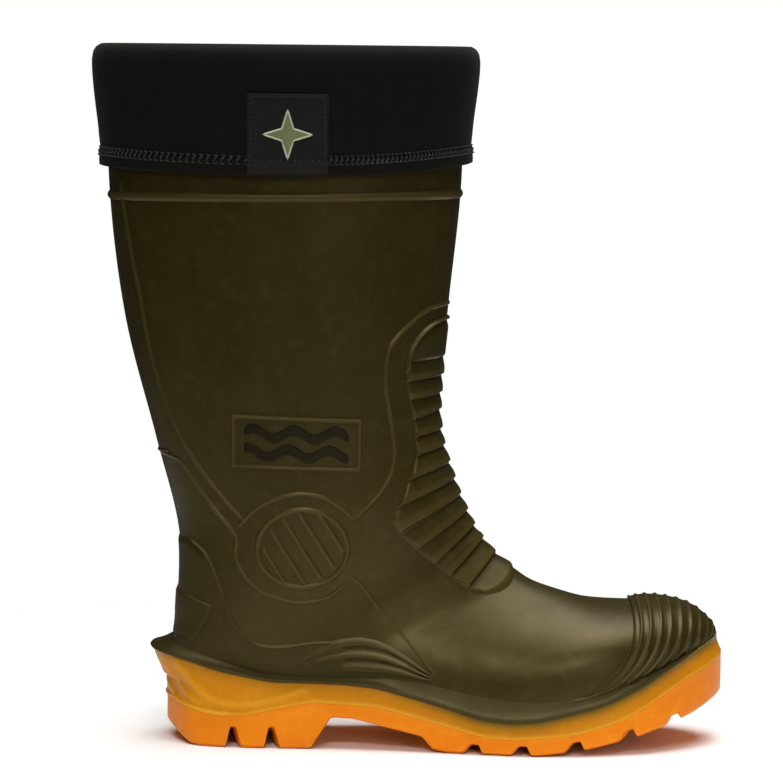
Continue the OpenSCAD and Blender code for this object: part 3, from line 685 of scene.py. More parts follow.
def upper_skin():
    """The shell as a closed wall with a rounded rim, and the rings of its outside."""
    outer = rings(even_stations(0, LAST, 2.3), SHELL_PLACES, 0)
    inner = rings(even_stations(0, 17.4, 7), SHELL_PLACES, -SHELL_WALL)
    tip = outer[-1]
    middle = tip.mean(axis=0)
    dome = [middle + (tip - middle) * k + [push, 0, 0]
            for k, push in ((0.86, 0.5), (0.6, 0.9), (0.3, 1.1))]
    bevel = 0.7
    lip_out, lip_in = outer[0] - [0, 0, bevel], inner[0] - [0, 0, bevel]
    lip = rings([0, 0], SHELL_PLACES, [-bevel, -SHELL_WALL + bevel])
    lip[..., 2] = RIM
    rows = np.concatenate([
        inner[:0:-1], lip_in[None], lip[::-1], lip_out[None], outer[1:], np.array(dome),
    ])
    return loft(rows), outer


SKIN, OUTER = upper_skin()
piece("upper_shell_skin", [SKIN], *SHELL_PVC, ["upper_shell"])
UPPER_TREE = BVHTree.FromPolygons(
    OUTER.reshape(-1, 3).tolist(),
    grid(np.arange(OUTER.shape[0] * OUTER.shape[1]).reshape(OUTER.shape[:2])).tolist(),
)


def band_round_leg():
    """A low rib round the leg, a little below the cuff."""
    middle, half = 1.08, 0.036  # stations
    s = np.linspace(-1, 1, 11)
    bell = np.cos(s * math.pi / 2) ** 0.9
    outs = np.concatenate([-0.1 + 1.45 * bell, [-0.8, -0.8]])
    us = middle + half * np.concatenate([s, [0.9, -0.9]])
    # painted highlight along the rib's crown
    painted_shading = np.concatenate([0.8 * bell, [0, 0]])[None, :]
    return loft(rings(us, SHELL_PLACES, outs).transpose(1, 0, 2), loop=True, painted_shading=painted_shading)


piece("top_band_rib", [band_round_leg()], *SHELL_PVC, ["top_band"])

# Lines in the side view, as x and z.
SEAM = [
    (-158, 309), (-157, 304), (-155, 290), (-151, 267), (-146, 243), (-141, 216), (-135, 196),
    (-129, 181), (-121, 164), (-110, 148), (-99, 135), (-88, 123.5),
]
HEEL_PANEL = [
    (-136.5, 159.5), (-131, 158.5), (-123, 155), (-114, 142), (-105, 130), (-95.5, 119),
    (-93, 114.5), (-93.5, 105), (-88, 94), (-79, 86), (-68, 81.5), (-57, 80), (-45, 82),
    (-37, 87.5), (-31, 93.5),
]
RING_TOP = [
    (-92, 121), (-86, 128.5), (-77, 135), (-67, 138.8), (-57, 140), (-46, 138), (-37, 132.8),
    (-29.5, 126),
]
GUARD_EDGE = [
    (22.5, 242), (11, 240), (1, 233), (-7, 225), (-11, 219), (-13, 210), (-13, 198),
    (-11, 186), (-9, 172), (-8, 161), (-10, 150), (-15, 141), (-22, 133), (-29.5, 126.5),
]
CREASE = [(-31, 95), (-24, 88), (-17, 78), (-5, 65), (7, 52), (16, 41)]
ARCH_OUTER = [
    (-67, 42), (-57, 51), (-45, 57.5), (-34, 60.5), (-23, 60.8), (-12, 58), (-1, 52), (14, 42),
]
TOE_LINE = [(88, 30), (97, 32), (117, 39.5), (132, 46.5), (146, 52), (158, 56.5), (164, 58.5)]
ANKLE = (-57.3, 109.9)


def cross_bead(z, reach, width=2.8):
    """A bead round the back of the leg, between the beads of the two sides."""
    line = np.linspace(1.5, 6, 2000)
    middle = float(np.interp(-z, -station(line)[:, 1], line))
    gap = float(station(middle - 0.05)[1] - station(middle + 0.05)[1]) / 0.1
    u = (middle + BELL_AT * width / 2 / gap)[None, :]
    t = np.linspace(-reach, reach, 41)[:, None]
    h, s = half_section(np.abs(t), station(u))
    top, bottom = (place(u, h, np.sign(t) * s, out)
                   for out in (BEAD_EDGE + (BEAD_HEIGHT - BEAD_EDGE) * BELL, BEAD_DEEP))
    return slab(top, bottom)


def ankle_ring(rx, rz):
    return [(ANKLE[0] + rx * math.cos(a), ANKLE[1] + rz * math.sin(a)) for a in round_angles(40)]


piece("seam_beads", [
    bead(line, side, width, height)
    for side in SIDES
    for line, width, height in (
        (SEAM, 2.8, BEAD_HEIGHT), (HEEL_PANEL, 2.8, BEAD_HEIGHT), (RING_TOP, 2.8, BEAD_HEIGHT),
        (GUARD_EDGE, 3.0, 1.0), (CREASE, 2.4, 0.6),
    )
] + [cross_bead(z=160, reach=0.24)], *SHELL_PVC)

# ---- Shin guard

# Where each groove ends at the side, as its number, x and z; then its middle, as x and z.
GROOVE_LEFT = [
    [0, -1, 215], [1, -1.8, 211], [2, -1.8, 200], [3, 0, 190], [4, 2, 179], [5, 3, 169],
    [6, 4, 159], [7, 0, 146], [8, -6.5, 131], [8.5, -9, 124.5], [9, -5, 116.5], [10, 5, 107],
    [11, 15, 99], [12, 23, 92], [13, 33, 86], [14, 44, 83],
]
GROOVE_FRONT = np.array([
    [21, 233], [18, 212], [18.5, 202], [18, 192], [17.5, 183], [18, 172], [19, 163], [21, 153],
    [24, 144], [27, 135], [31, 126], [35, 118], [41, 111], [48.5, 103], [59, 95.2],
])


def front_station(points):
    """The station whose front point is nearest to each place in the side view."""
    u = np.linspace(1.5, 10, 3000)
    line = station(u)[:, 2:4]
    return np.array([u[np.argmin(((line - p) ** 2).sum(axis=1))] for p in points])


def shin_guard_ribs():
    """Overlapping ribs across the shin: each rises slowly downwards and ends in a step."""
    per_rib, half_columns = 18, 30
    ribs = len(GROOVE_FRONT) - 1
    v = np.arange(ribs * per_rib + 1) / per_rib
    knots = np.arange(ribs + 1)
    u_front = np.interp(v, knots, front_station(GROOVE_FRONT))
    front = station(u_front)[:, 2:4]
    left = np.stack([table(v, [row[:1] + [row[k]] for row in GROOVE_LEFT]) for k in (1, 2)], -1)
    w = np.linspace(-1, 1, 2 * half_columns + 1)
    w = np.sign(w) * np.abs(w) ** 0.8
    reach = np.abs(w) ** 1.7
    chord = front[:, None] + (left - front)[:, None] * reach[:, None]
    crown = 4.2 * np.clip(1 - v, 0, 1)
    toe_end = 5.0 * np.clip(v - ribs + 1, 0, 1)
    bow = 4.4 * np.abs(w) ** 1.2 * (1 - np.abs(w))
    normal = np.array([-0.55, 0.83]) * crown[:, None] + np.array([0.45, -0.9]) * toe_end[:, None]
    points = chord + normal[:, None] * bow[:, None]
    f = v % 1.0
    f[-1] = 1.0
    rise = 0.3 + 1.6 * smooth(f / 0.75) ** 0.7
    fall = smooth((f - 0.89) / 0.11)
    relief = rise * (1 - fall) + 0.3 * fall
    first, last = v < 1, v > ribs - 1
    relief = np.where(first, 1.4 - 0.2 * fall, relief)
    relief = np.where(last, np.minimum(relief, 2.2), relief)
    edge = smooth((1 - np.abs(w)) / 0.03)
    ends = smooth(v / 0.25) * smooth((ribs - v) / 0.3)
    out = relief[:, None] * edge * np.where(first | last, ends, 1)[:, None]
    # painted highlight on the lower part of each rib; painted shade at its step and in the groove
    # at the top of the next rib
    painted_shading = 0.6 * smooth((f - 0.45) / 0.25) * (1 - fall) - 1.2 * fall - 0.9 * smooth(1 - f / 0.16)
    painted_shading = np.where(first, 0, painted_shading)[:, None] * smooth((1 - np.abs(w)) / 0.04)
    return raised(points[..., 0], points[..., 1], np.where(w < 0, -1, 1), out - 0.1, painted_shading)


GUARD_RIM = [(21.5, 234), (15, 232.5), (9, 229), (3.5, 223), (0, 217), (-1.2, 211), (-1.2, 204)]
piece("shin_guard_ribs", [shin_guard_ribs()] + [
    bead(GUARD_RIM, side, width=2.2, height=1.9) for side in SIDES
], *SHELL_PVC, ["shin_guard"], sharp=50)

# ---- Ankle discs

def ankle_disc(side):
    """A raised rim with slanted ridges inside."""
    slant = math.radians(58)
    along = np.array([math.cos(slant), -math.sin(slant)])
    across = np.array([math.sin(slant), math.cos(slant)])
    width = 3.6
    parts = [bead(ankle_ring(24.4, 21.4), side, width, height=1.1, closed=True)]
    for offset in (-18.0, -9.0, 0.0, 9.0, 18.0):  # of each ridge from the middle of the disc
        half = math.sqrt(1 - (offset / 23.2) ** 2) * 21.8
        ridge = [ANKLE + across * offset + along * t * half for t in (-1, -0.5, 0, 0.5, 1)]
        parts.append(bead(ridge, side, width, height=0.95))
    return parts


for side, place_name in zip(SIDES, ("outer", "inner")):
    piece("ankle_disc_" + place_name, ankle_disc(side), *SHELL_PVC,
          ["ankle_guard_" + place_name])

# ---- Heel counter and kick plate

COUNTER_TOP = [
    (-127, 114), (-120, 113), (-117, 111), (-110, 105), (-105, 96), (-101, 85), (-97, 75),
    (-93, 66), (-86, 59.5), (-79, 56), (-68, 55.5), (-57, 57), (-47, 58), (-38, 58), (-30, 58),
]
COUNTER_FRONT = -32


def find_back(z):
    """The station whose back point lies at a height."""
    u = np.linspace(3, 6.9, 1500)
    return float(np.interp(-z, -station(u)[:, 1], u))


def back_panel(edge_points, back_heights, relief, embed, rows, columns):
    """A panel round the back of the heel, symmetric, from an edge line on each side.

    edge_points gives, for each row, the line's x from the front edge to the back and its z."""
    top, bottom = [], []
    first_z, last_z = back_heights
    for i in range(rows + 1):
        v = i / rows
        z_back = first_z + (last_z - first_z) * v
        u = find_back(z_back)
        back_x, flat = station(u)[[0, 6]]
        q = np.linspace(0, 1, columns + 1)[:-1]
        x, z = edge_points(q, v, back_x, z_back)
        fade = smooth(v / 0.06)
        if last_z > 58:  # the panel ends above the rand, so its lower edge is rounded too
            fade = min(fade, smooth((1 - v) / 0.04))
        out = -0.15 + (relief + 0.15) * smooth(q / 0.035) * (0.05 + 0.95 * fade)
        for line, level in ((top, out), (bottom, np.full_like(out, -embed))):
            middle = place(u, 0, np.linspace(-1, 1, 9) * flat, level[-1])
            sides = [on_side(x, z, side, level) for side in SIDES]
            line.append(np.concatenate([sides[0], middle, sides[1][::-1]]))
    return slab(np.array(top), np.array(bottom))


def counter_edge(q, v, back_x, _):
    x = COUNTER_FRONT + (back_x - COUNTER_FRONT) * np.sin(q * math.pi / 2)
    return x, table(x, COUNTER_TOP) * (1 - v) + (table(x, RAND_TOP) - 1.0) * v


def kick_edge(q, v, back_x, z_back):
    corner = np.array([-104.5, 77.5]) * (1 - v) + np.array([-114.5, 57]) * v
    bend = np.sin(q * math.pi / 2)
    return corner[0] + (back_x - corner[0]) * bend, corner[1] + (z_back - corner[1]) * bend


piece("heel_counter_panel", [
    back_panel(counter_edge, (114, 54), relief=1.0, embed=EMBED, rows=40, columns=70),
] + [bead(COUNTER_TOP[1:], side, width=2.0, height=1.25) for side in SIDES],
    *COUNTER_PVC, ["heel_counter"])
piece("heel_kick_patch", [
    back_panel(kick_edge, (84.5, 59), relief=2.1, embed=0.5, rows=24, columns=26),
], *COUNTER_PVC, ["heel_kick_plate"])

# ---- Toe bumper

# The x of each ridge on the toe's middle line, and the x of its ends above the rand.
RIDGE_TOP = [122.3, 126.6, 131.4, 137, 142.4, 148, 153.2, 158, 162.4, 165.3, 167.2]
RIDGE_LOW = [92.5, 101.5, 110.5, 118.5, 126.4, 134, 142, 149.6, 156.4, 161.9, 165.5]


def toe_bumper_ribs():
    """Ridges across the toe, swelling towards the tip."""
    per_rib, half_columns = 12, 30
    ribs = len(RIDGE_TOP) - 1
    v = np.arange(ribs * per_rib + 1) / per_rib
    u = np.linspace(11, LAST, 3000)
    line = station(u)[:, 2:4]
    spread = lambda values: np.interp(v, np.arange(ribs + 1), values)
    high = station(np.interp(spread(RIDGE_TOP), line[:, 0], u))[:, 2:4]
    x_low = spread(RIDGE_LOW)
    low = np.stack([x_low, np.minimum(eased(x_low, RAND_TOP) - 0.6, high[:, 1] - 1)], -1)
    w = np.linspace(-1, 1, 2 * half_columns + 1)
    a = 0.35 * np.abs(w) ** 2 + 0.65 * (1 - np.cos(np.abs(w) * math.pi / 2))
    z = high[:, 1, None] + (low[:, 1] - high[:, 1])[:, None] * a
    sweep = (low[:, 0] - high[:, 0])[:, None] * a**2.4
    x = high[:, 0, None] + sweep + 2.0 * np.sin(math.pi * a) * (1 - v / ribs)[:, None]
    ridge = (np.cos((v % 1.0) * 2 * math.pi) * 0.5 + 0.5) ** 3.2
    swell = 0.5 + 1.9 * smooth(v / 8)
    brow = np.interp(v, [0, 1.5, 3, 6, 9, 10], [0.9, 1.8, 2.3, 2.7, 2.4, 1.6])
    fade = smooth((1 - np.abs(w)) / 0.05)
    high_ridge = ridge[:, None] * (0.8 - 0.4 * smooth((v - 5) / 3)[:, None] * (1 - np.abs(w)) ** 2)
    out = (swell[:, None] + brow[:, None] * (1 - w**2) + high_ridge) * (0.15 + 0.85 * fade)
    out[0] = out[-1] = -0.1
    # painted highlight on each ridge, painted shade in the hollows between ridges
    painted_shading = (0.5 * ridge - 0.7 * (1 - ridge) ** 3)[:, None] * fade
    return raised(x, z, np.where(w < 0, -1, 1), out, painted_shading)


piece("toe_bumper_ribs", [toe_bumper_ribs()] + [
    bead(TOE_LINE, side, width=2.2) for side in SIDES
], *SHELL_PVC, ["toe_bumper"], sharp=55)

# ---- Arch relief

ARCH_LOW = [(-67, 41.2), (-56, 40.6), (-40, 40.4), (-15, 40.4), (-3, 40.2), (14, 38.8)]


def arch_ribbons(side):
    """Three raised ribbons that fan out over the arch from the ball of the foot."""
    n, m = 110, 41
    along, v = np.linspace(0, 1, n)[None, :], np.linspace(0, 1, m)[:, None]
    upper, lower = (
        columns_at(along[0], np.linspace(0, 1, len(line)), line)
        for line in (smooth_line(ARCH_OUTER, 1.0), smooth_line(ARCH_LOW, 1.0))
    )
    points = upper[None] + (lower - upper)[None] * v[..., None]
    # painted shade between the ribbons and painted highlight on them
    out, painted_shading = np.full((m, n), 0.12), np.full((m, n), -0.5)
    for start, low, high, height in (
        (0.0, 0.0, 0.26, 1.3), (0.13, 0.33, 0.56, 1.5), (0.3, 0.64, 0.92, 1.2),
    ):
        ribbon = smooth(np.minimum(v - low, high - v) / 0.07) * smooth((along - start) / 0.12)
        crown = 0.75 + 0.25 * np.sin(np.clip((v - low) / (high - low), 0, 1) * math.pi)
        out = np.maximum(out, height * ribbon * crown)
        painted_shading = np.maximum(painted_shading, 0.8 * ribbon - 0.5)
    ends = smooth(np.minimum(along / 0.06, (1 - along) / 0.05))
    ends = ends * smooth(np.minimum(v, 1 - v) / 0.03 + 0.1)
    return raised(points[..., 0], points[..., 1], side, -0.1 + (out + 0.1) * ends, painted_shading * ends)


piece("arch_relief", [arch_ribbons(side) for side in SIDES], *SHELL_PVC)

# ---- Side badge

BADGE = ((-96, 152.7), (-26, 182.2))


def to_border(shape, size):
    """Distance of each grid place from the grid's border, for a panel of a size."""
    rows, columns = (np.linspace(0, length, n) for length, n in zip(size[::-1], shape))
    return np.minimum(
        np.minimum(columns, size[0] - columns)[None, :],
        np.minimum(rows, size[1] - rows)[:, None],
    )


def on_badge(across, up):
    """A place on the badge, from its lower left corner, as x and z on the shaft."""
    (x0, z0), (x1, _) = BADGE
    return x0 + across, z0 + up + 1.1 - 2.2 * across / (x1 - x0)


def badge_frame():
    """A raised frame round a lower field, with painted highlight on the frame and a line of
    painted shade where they meet.
    """
    size = np.array(BADGE[1]) - BADGE[0]
    x, z = on_badge(*np.meshgrid(np.linspace(0, size[0], 80), np.linspace(size[1], 0, 34)))
    border = to_border(x.shape, size)
    out = -0.1 + 1.6 * smooth(border / 0.9) - 0.85 * smooth((border - 1.7) / 0.8)
    # painted highlight on the frame, painted shade where it meets the field
    painted_shading = 0.7 * smooth(border / 0.9) * (1 - smooth((border - 1.6) / 0.8))
    painted_shading -= 0.6 * np.exp(-(((border - 2.9) / 0.7) ** 2))
    return raised(x, z, -1, out, painted_shading)


def badge_waves():
    """Two bold rolling waves, in place of any lettering."""
    along, across = np.linspace(0, 1, 90)[None, :], np.linspace(-1, 1, 11)[:, None]
    ends = smooth(np.minimum(along, 1 - along) / 0.03)
    half = 2.9 * (0.35 + 0.65 * ends)
    out = 0.3 + 1.1 * smooth((1 - np.abs(across)) / 0.22) * ends
    parts = []
    for height, turn in ((20.0, 0.0), (9.5, 0.9)):
        middle = height + 2.3 * np.sin(along * 5.2 * math.pi + turn)
        x, z = on_badge(6.5 + 57 * along + 0 * across, middle - across * half)
        parts.append(raised(x, z, -1, out, deep=0.1))
    return parts


piece("side_badge_frame", [badge_frame()], DARK_OLIVE, "boot", "badge_pvc", ["side_badge"])
piece("side_badge_waves", badge_waves(), BADGE_BLACK, "boot", "badge_pvc")

# ---- Sole

def sole_line(count):
    """Places evenly round the sole with their outward normals, from the toe tip."""
    n = len(SOLE_OUTLINE)
    s = np.linspace(0, n, n * 60, endpoint=False)
    def at(s):
        i = np.floor(s).astype(int)
        rows = [SOLE_OUTLINE[(i + k) % n] for k in (-1, 0, 1, 2)]
        return catmull(*rows, (s - i)[:, None])
    run = distances(at(np.append(s, n)))
    places = np.interp(np.linspace(0, run[-1], count, endpoint=False), run, np.append(s, n))
    point, ahead = at(places), at(places + 0.02) - at(places - 0.02)
    return point, unit(np.stack([-ahead[:, 1], ahead[:, 0]], -1))


def heel_share(x):
    return smooth((-116 - x) / 18)


def heel_shift(x, z):
    """How far the sole's back stands out from its outline at a height, for the heel spur."""
    return heel_share(x) * np.interp(
        z, [0, 11, 21, 26, 34.5, 36, 46, 51], [-6, -5.5, -4.6, -5.4, -5.4, -2.6, 1.5, 2.6])


def toe_shift(x, z):
    """How far the sole's tip stands out from its outline at a height."""
    return smooth((x - 150) / 20) * np.interp(
        z, [20, 26, 31, 36, 42, 50, 56, 60], [-1.4, 1.4, 2.5, 2.3, 2.4, 1.1, -0.7, -1.3])


LINE, NORMAL = sole_line(620)


def sole_loop(r, z):
    """Points r out from the outline at heights z, both of (places round, places in section)."""
    xy = LINE[:, None] + NORMAL[:, None] * r[..., None]
    return np.concatenate([xy, z[..., None]], -1)


def upper_reach(heights):
    """How far out from the outline the upper's side lies at a height, below 0 inside it."""
    away, places, reach = 25, [], []
    for i, (p, n, z) in enumerate(zip(LINE, NORMAL, heights)):
        start = Vector((*(p + away * n), z))
        hit = UPPER_TREE.ray_cast(start, Vector((-n[0], -n[1], 0)), 60)
        if hit[0] is not None:
            places.append(i)
            reach.append(away - hit[3])
    reach = np.interp(np.arange(len(LINE)), places, reach)
    return np.convolve(np.concatenate([reach[-2:], reach, reach[:2]]), np.ones(5) / 5, "valid")


def rand_strip():
    """The dark lip where the upper meets the sole, as a closed section round the outline."""
    x = LINE[:, 0]
    top, bottom = eased(x, RAND_TOP), eased(x, RAND_BOTTOM)
    inner = np.minimum(upper_reach(top + 0.2), -1.6)
    lip = 1.2 + 2.2 * heel_share(x) - 3.9 * smooth((x - 145) / 24)
    lip_top = bottom + np.minimum(2.4 - 0.8 * heel_share(x), (top - bottom) * 0.45)
    a = np.array([0, 0.12, 0.28, 0.45, 0.62, 0.78, 0.9, 0.97])
    r = inner[:, None] + (lip - inner)[:, None] * a
    z = top[:, None] + (lip_top - top)[:, None] * a**0.85
    z = z - 0.7 * np.sin(a * math.pi) * smooth((top - bottom) / 8)[:, None]
    r_end = np.stack([lip + 0.02, lip, lip - 0.5, lip - 1.2], -1)
    z_end = np.stack([lip_top - 0.5, bottom + 0.7, bottom + 0.1, bottom - 0.1], -1)
    r_in = np.stack([np.minimum(inner, -3) - 1, inner - 4], -1)
    z_in = np.stack([bottom + 0.2, top - 0.5], -1)
    # painted shade where the rand meets the upper and under its lip, painted highlight along the
    # lip's edge
    painted_shading = np.concatenate([-0.7 * np.exp(-(a / 0.08) ** 2), [0.5, 0.3, 0, -0.6, 0, 0]])
    section = sole_loop(np.concatenate([r, r_end, r_in], 1), np.concatenate([z, z_end, z_in], 1))
    return loft(section, loop=True, painted_shading=painted_shading[None, :])


# Raised lines at the heel of the midsole: line, height and width.
HEEL_SWOOSHES = [
    ([(-126, 45.5), (-119, 36.5), (-112, 29), (-105, 25), (-95, 23.2), (-78, 25), (-67, 28.5),
      (-57, 33)], 0.95, 2.0),
    ([(-139, 33), (-130, 25), (-120, 20.6), (-110, 18.8), (-98, 18.6)], 0.7, 1.6),
    ([(-135, 43), (-128, 34), (-119, 26.5), (-112, 23)], 0.55, 1.4),
]


def near(line, x, z, width):
    """A bell round a line in the side view."""
    line = smooth_line(line, 1.2)
    gap = np.full(x.shape, 1e9)
    for a, b in zip(line[:-1], line[1:]):
        d = b - a
        t = np.clip(((x - a[0]) * d[0] + (z - a[1]) * d[1]) / (d @ d), 0, 1)
        gap = np.minimum(gap, (x - a[0] - t * d[0]) ** 2 + (z - a[1] - t * d[1]) ** 2)
    return np.exp(-gap / width**2)


def midsole_strip():
    """The amber layer, and how far each of its places is darkened towards the rand."""
    x = LINE[:, 0]
    top, bottom = eased(x, RAND_BOTTOM), eased(x, PARTING)
    v = np.concatenate([np.linspace(0, 0.86, 30), np.linspace(0.88, 1, 7)])
    z = (top + 0.3)[:, None] + (bottom - top - 0.3)[:, None] * v
    wide_x = np.broadcast_to(x[:, None], z.shape)
    height = (top - bottom)[:, None]
    below = height * (1 - v)
    ridge = (0.75 - 0.5 * smooth((x - 140) / 20))[:, None] * np.exp(-((below - 0.9) / 0.9) ** 2)
    r = -0.55 - 0.5 * np.sin(np.clip(v / 0.8, 0, 1) * math.pi) + ridge
    r = r + heel_shift(wide_x, z) + toe_shift(wide_x, z)
    bell = np.zeros(z.shape)
    for line, rise, width in HEEL_SWOOSHES:
        bell = np.maximum(bell, near(line, wide_x, z, width) * rise)
    r = r + bell
    # painted highlight along the raised heel lines and along the ridge just above the parting line
    painted_shading = 0.5 * bell + 0.6 * np.exp(-((below - 0.9) / 0.8) ** 2)
    tint = np.exp(-((height * v) / 4.2) ** 2) * (0.4 + 0.55 * smooth((x + 20) / 60))[:, None]
    r_in = np.full((len(x), 2), -9.0)
    z_in = np.stack([bottom - 0.1, top + 0.1], -1)
    section = sole_loop(np.concatenate([r, r_in], 1), np.concatenate([z, z_in], 1))
    full = lambda a: np.concatenate([a, np.zeros((len(x), 2))], 1)
    return loft(section, loop=True, painted_shading=full(painted_shading)), full(tint).ravel()


piece("rand_strip", [rand_strip()], DARK_OLIVE, "boot", "shell_pvc", ["rand"], sharp=50)
MIDSOLE, TINT = midsole_strip()
piece("midsole_strip", [MIDSOLE], AMBER, "boot", "midsole_amber", ["midsole"], sharp=55, tint=TINT)

# Grooves of the tread: x of the middle, depth, and how far from the middle the back wall
# starts and ends, then the front wall.
GROOVES = [
    (-94, 11, (4.2, 1.9, 1.2, 4.0)), (-73, 11, (4.2, 1.9, 1.2, 4.0)),
    (37, 5, (6.6, 2.4, 2.0, 4.0)), (63, 5, (6.6, 2.4, 2.0, 4.0)), (92, 5, (6.6, 2.4, 2.0, 4.0)),
    (121, 4.6, (5.6, 2.4, 1.8, 3.8)), (146, 3.6, (4.6, 2.2, 1.6, 3.4)),
]
CHANNEL, RIM_SHARE = 0.045, 0.012  # shares of the sole's width


def groove_rise(x):
    """How far the grooves lift the bottom at x."""
    return np.max([
        np.interp(x, [at - a, at - b, at + c, at + d], [0, depth, depth, 0])
        for at, depth, (a, b, c, d) in GROOVES
    ], axis=0)


def outsole_block():
    """The lugged layer as sections from heel to toe: the bottom, then the two side walls."""
    inset = -0.9 + heel_shift(LINE[:, 0], 15.0) + toe_shift(LINE[:, 0], 27.0)
    edge = LINE + NORMAL * inset[:, None]
    tip, heel = int(np.argmax(edge[:, 0])), int(np.argmin(edge[:, 0]))
    edge = np.roll(edge, -tip, axis=0)
    heel = (heel - tip) % len(edge)
    lateral, medial = edge[: heel + 1][::-1], np.concatenate([edge[heel:], edge[:1]])
    x0, x1 = edge[heel, 0] + 0.25, edge[0, 0] - 0.25
    close = 6 * np.linspace(0, 1, 9) ** 2
    rows = np.concatenate([np.linspace(x0 + 6, x1 - 6, 118), x0 + close, x1 - close])
    rows = set(np.round(rows, 3))
    corners = [(at + lean, 0.9, 0.4) for at, _, (a, b, c, d) in GROOVES for lean in (-a, -b, c, d)]
    for corner, clear, half in corners + [(x, 0.6, 0.3) for x, _ in TREAD[1:-1]]:
        rows = {x for x in rows if abs(x - corner) > clear} | {corner - half, corner + half}
    xs = np.array(sorted(rows))
    xs = xs[(xs >= x0) & (xs <= x1)]
    eta = np.array(sorted(set(np.linspace(0.03, 0.97, 27)) | {
        0, RIM_SHARE, 1 - RIM_SHARE, 1, 0.5 - CHANNEL, 0.5 - CHANNEL + RIM_SHARE,
        0.5 + CHANNEL - RIM_SHARE, 0.5 + CHANNEL,
    }))
    sway = np.interp(xs, [x0, -120, -60, -30, 20, 120, x1], [0, -5, -5, 0, 8, 8, 0])
    x = xs[:, None] + sway[:, None] * (1 - (2 * eta - 1) ** 2)
    y_lat = np.interp(xs, lateral[:, 0], lateral[:, 1])
    y_med = np.interp(xs, medial[:, 0], medial[:, 1])
    wide = (y_med - y_lat)[:, None]
    rise = groove_rise(xs)
    channel = smooth((CHANNEL - np.abs(eta - 0.5)) / RIM_SHARE)
    front = smooth((xs - 8) / 6) * smooth((150 - xs) / 8)
    z = eased(xs, TREAD, 1.2)[:, None] + np.maximum(rise[:, None], 3.2 * channel * front[:, None])
    z = z + 0.8 * smooth(1 - np.minimum(eta, 1 - eta) / RIM_SHARE)
    parting = eased(xs, PARTING) + 0.6
    z = np.minimum(z, parting[:, None] - 1.5)
    # the bottom is set in a little at its edge, and the wall rises from there
    narrow = y_lat[:, None] + 0.9 + (wide - 1.8) * eta
    bottom = np.stack([x, np.where(wide > 4, narrow, y_lat[:, None] + wide * eta), z], -1)
    levels = np.array([0.0, 0.06, 0.3, 0.6, 1.0])
    ripples = smooth((xs - 148) / 6) * smooth((168 - xs) / 4)
    ripples = ripples * (np.sin((xs - 150) * 2 * math.pi / 3.4) > 0.2)
    walls = []
    for side, j, y_edge in zip(SIDES, (0, -1), (y_lat, y_med)):
        low = z[:, j, None]
        wall_z = low + (parting[:, None] - low) * levels
        wall_y = y_edge[:, None] - side * 0.7 * ripples[:, None] * np.sin(levels * math.pi)
        walls.append(np.stack([np.broadcast_to(xs[:, None], wall_z.shape), wall_y, wall_z], -1))
    section = np.concatenate([bottom, walls[1][:, 1:], walls[0][:, :0:-1]], axis=1)
    painted_shading = np.zeros(section.shape[:2])
    # painted shade on the floors of the tread grooves
    painted_shading[:, : len(eta)] = -0.35 * smooth(rise / 3)[:, None]
    return loft(section, painted_shading=painted_shading)


piece("outsole_tread", [outsole_block()], ORANGE, "boot", "outsole_orange", ["outsole"], sharp=35)

# ---- Inside the boot

def cup(outer, inner):
    """A closed wall that is open at the top, from the rings of its two faces."""
    return loft(np.concatenate([inner[::-1], outer]))


def lining_cloth():
    us, inner_us = even_stations(0, 16.8, 6), even_stations(0, 16.2, 3.5)
    room = np.where(us > CAP_START, CAP_ROOM, 0)
    against_shell = -SHELL_WALL - 0.1
    low = against_shell - np.maximum(room, smooth((us - 5.4) / 1.2))
    return cup(rings(us, 144, against_shell - room, low),
               rings(inner_us, 144, lined_side(inner_us), lined_low(inner_us)))


lining = piece("textile_lining_cloth", [lining_cloth()], LINING, "boot", "lining_textile",
               ["textile_lining"])


def footbed_pad():
    """A foam pad with rolled edges and a field of shallow dimples."""
    u = even_stations(7.2, 15.6, 2.2)[:, None]
    s = np.linspace(-1, 1, 41)
    row, column = np.arange(len(u))[:, None], np.arange(len(s))
    roll = smooth(np.minimum(np.minimum(row, row[::-1]) / 3, (1 - np.abs(s)) / 0.06))
    dimples = 0.35 * (np.sin(row * math.pi / 2) * np.sin(column * math.pi / 2)) ** 2
    up = 1.6 + 3.9 * roll + 0.3 * np.abs(s) ** 3 * roll - dimples * roll
    across = s * station(u)[..., 6] * 0.985
    return slab(*(place(u, 0, across, lined_side(u), lined_low(u) - rise)
                  for rise in (np.minimum(up, 5.45), 1.55)))


footbed = piece("footbed_pad", [footbed_pad()], FOAM, "boot", "footbed_foam", ["footbed"])

for node, material in (
    ("insole_board", BOARD), ("steel_toe_cap", STEEL), ("steel_midsole_plate", STEEL),
):
    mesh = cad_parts[node].data
    mesh.materials.clear()
    mesh.materials.append(material)

# ---- Liner

LINER_PLACES = 180
LEG_TOP = RIM - 10  # the leg ends inside the cuff's fold


def liner_rings(us, inset):
    return rings(us, LINER_PLACES, liner_side(us) - inset, liner_low(us) - inset)


def liner_leg():
    """The leg as a closed wall, from under the cuff to the ankle."""
    faces = []
    for inset in (0, LINER_WALL):
        top = rings([0], LINER_PLACES, liner_side(0.0) - inset)
        top[..., 2] = LEG_TOP
        faces.append(np.concatenate([top, liner_rings(even_stations(0.6, LEG_END, 3), inset)]))
    return loft(np.concatenate([faces[0], faces[1][::-1]]), loop=True)


def liner_foot():
    return cup(liner_rings(even_stations(LEG_END, 15.6, 3), 0),
               liner_rings(even_stations(LEG_END, 15, 3), LINER_WALL))


def liner_point(u, t, out):
    """Points of the liner's outside at stations u and places t, t below 0 on the outer side."""
    u, t = np.broadcast_arrays(np.asarray(u, float), np.asarray(t, float))
    h, s = half_section(np.abs(t), station(u))
    return place(u, h, np.sign(t) * s, liner_side(u) + out, liner_low(u) + out)


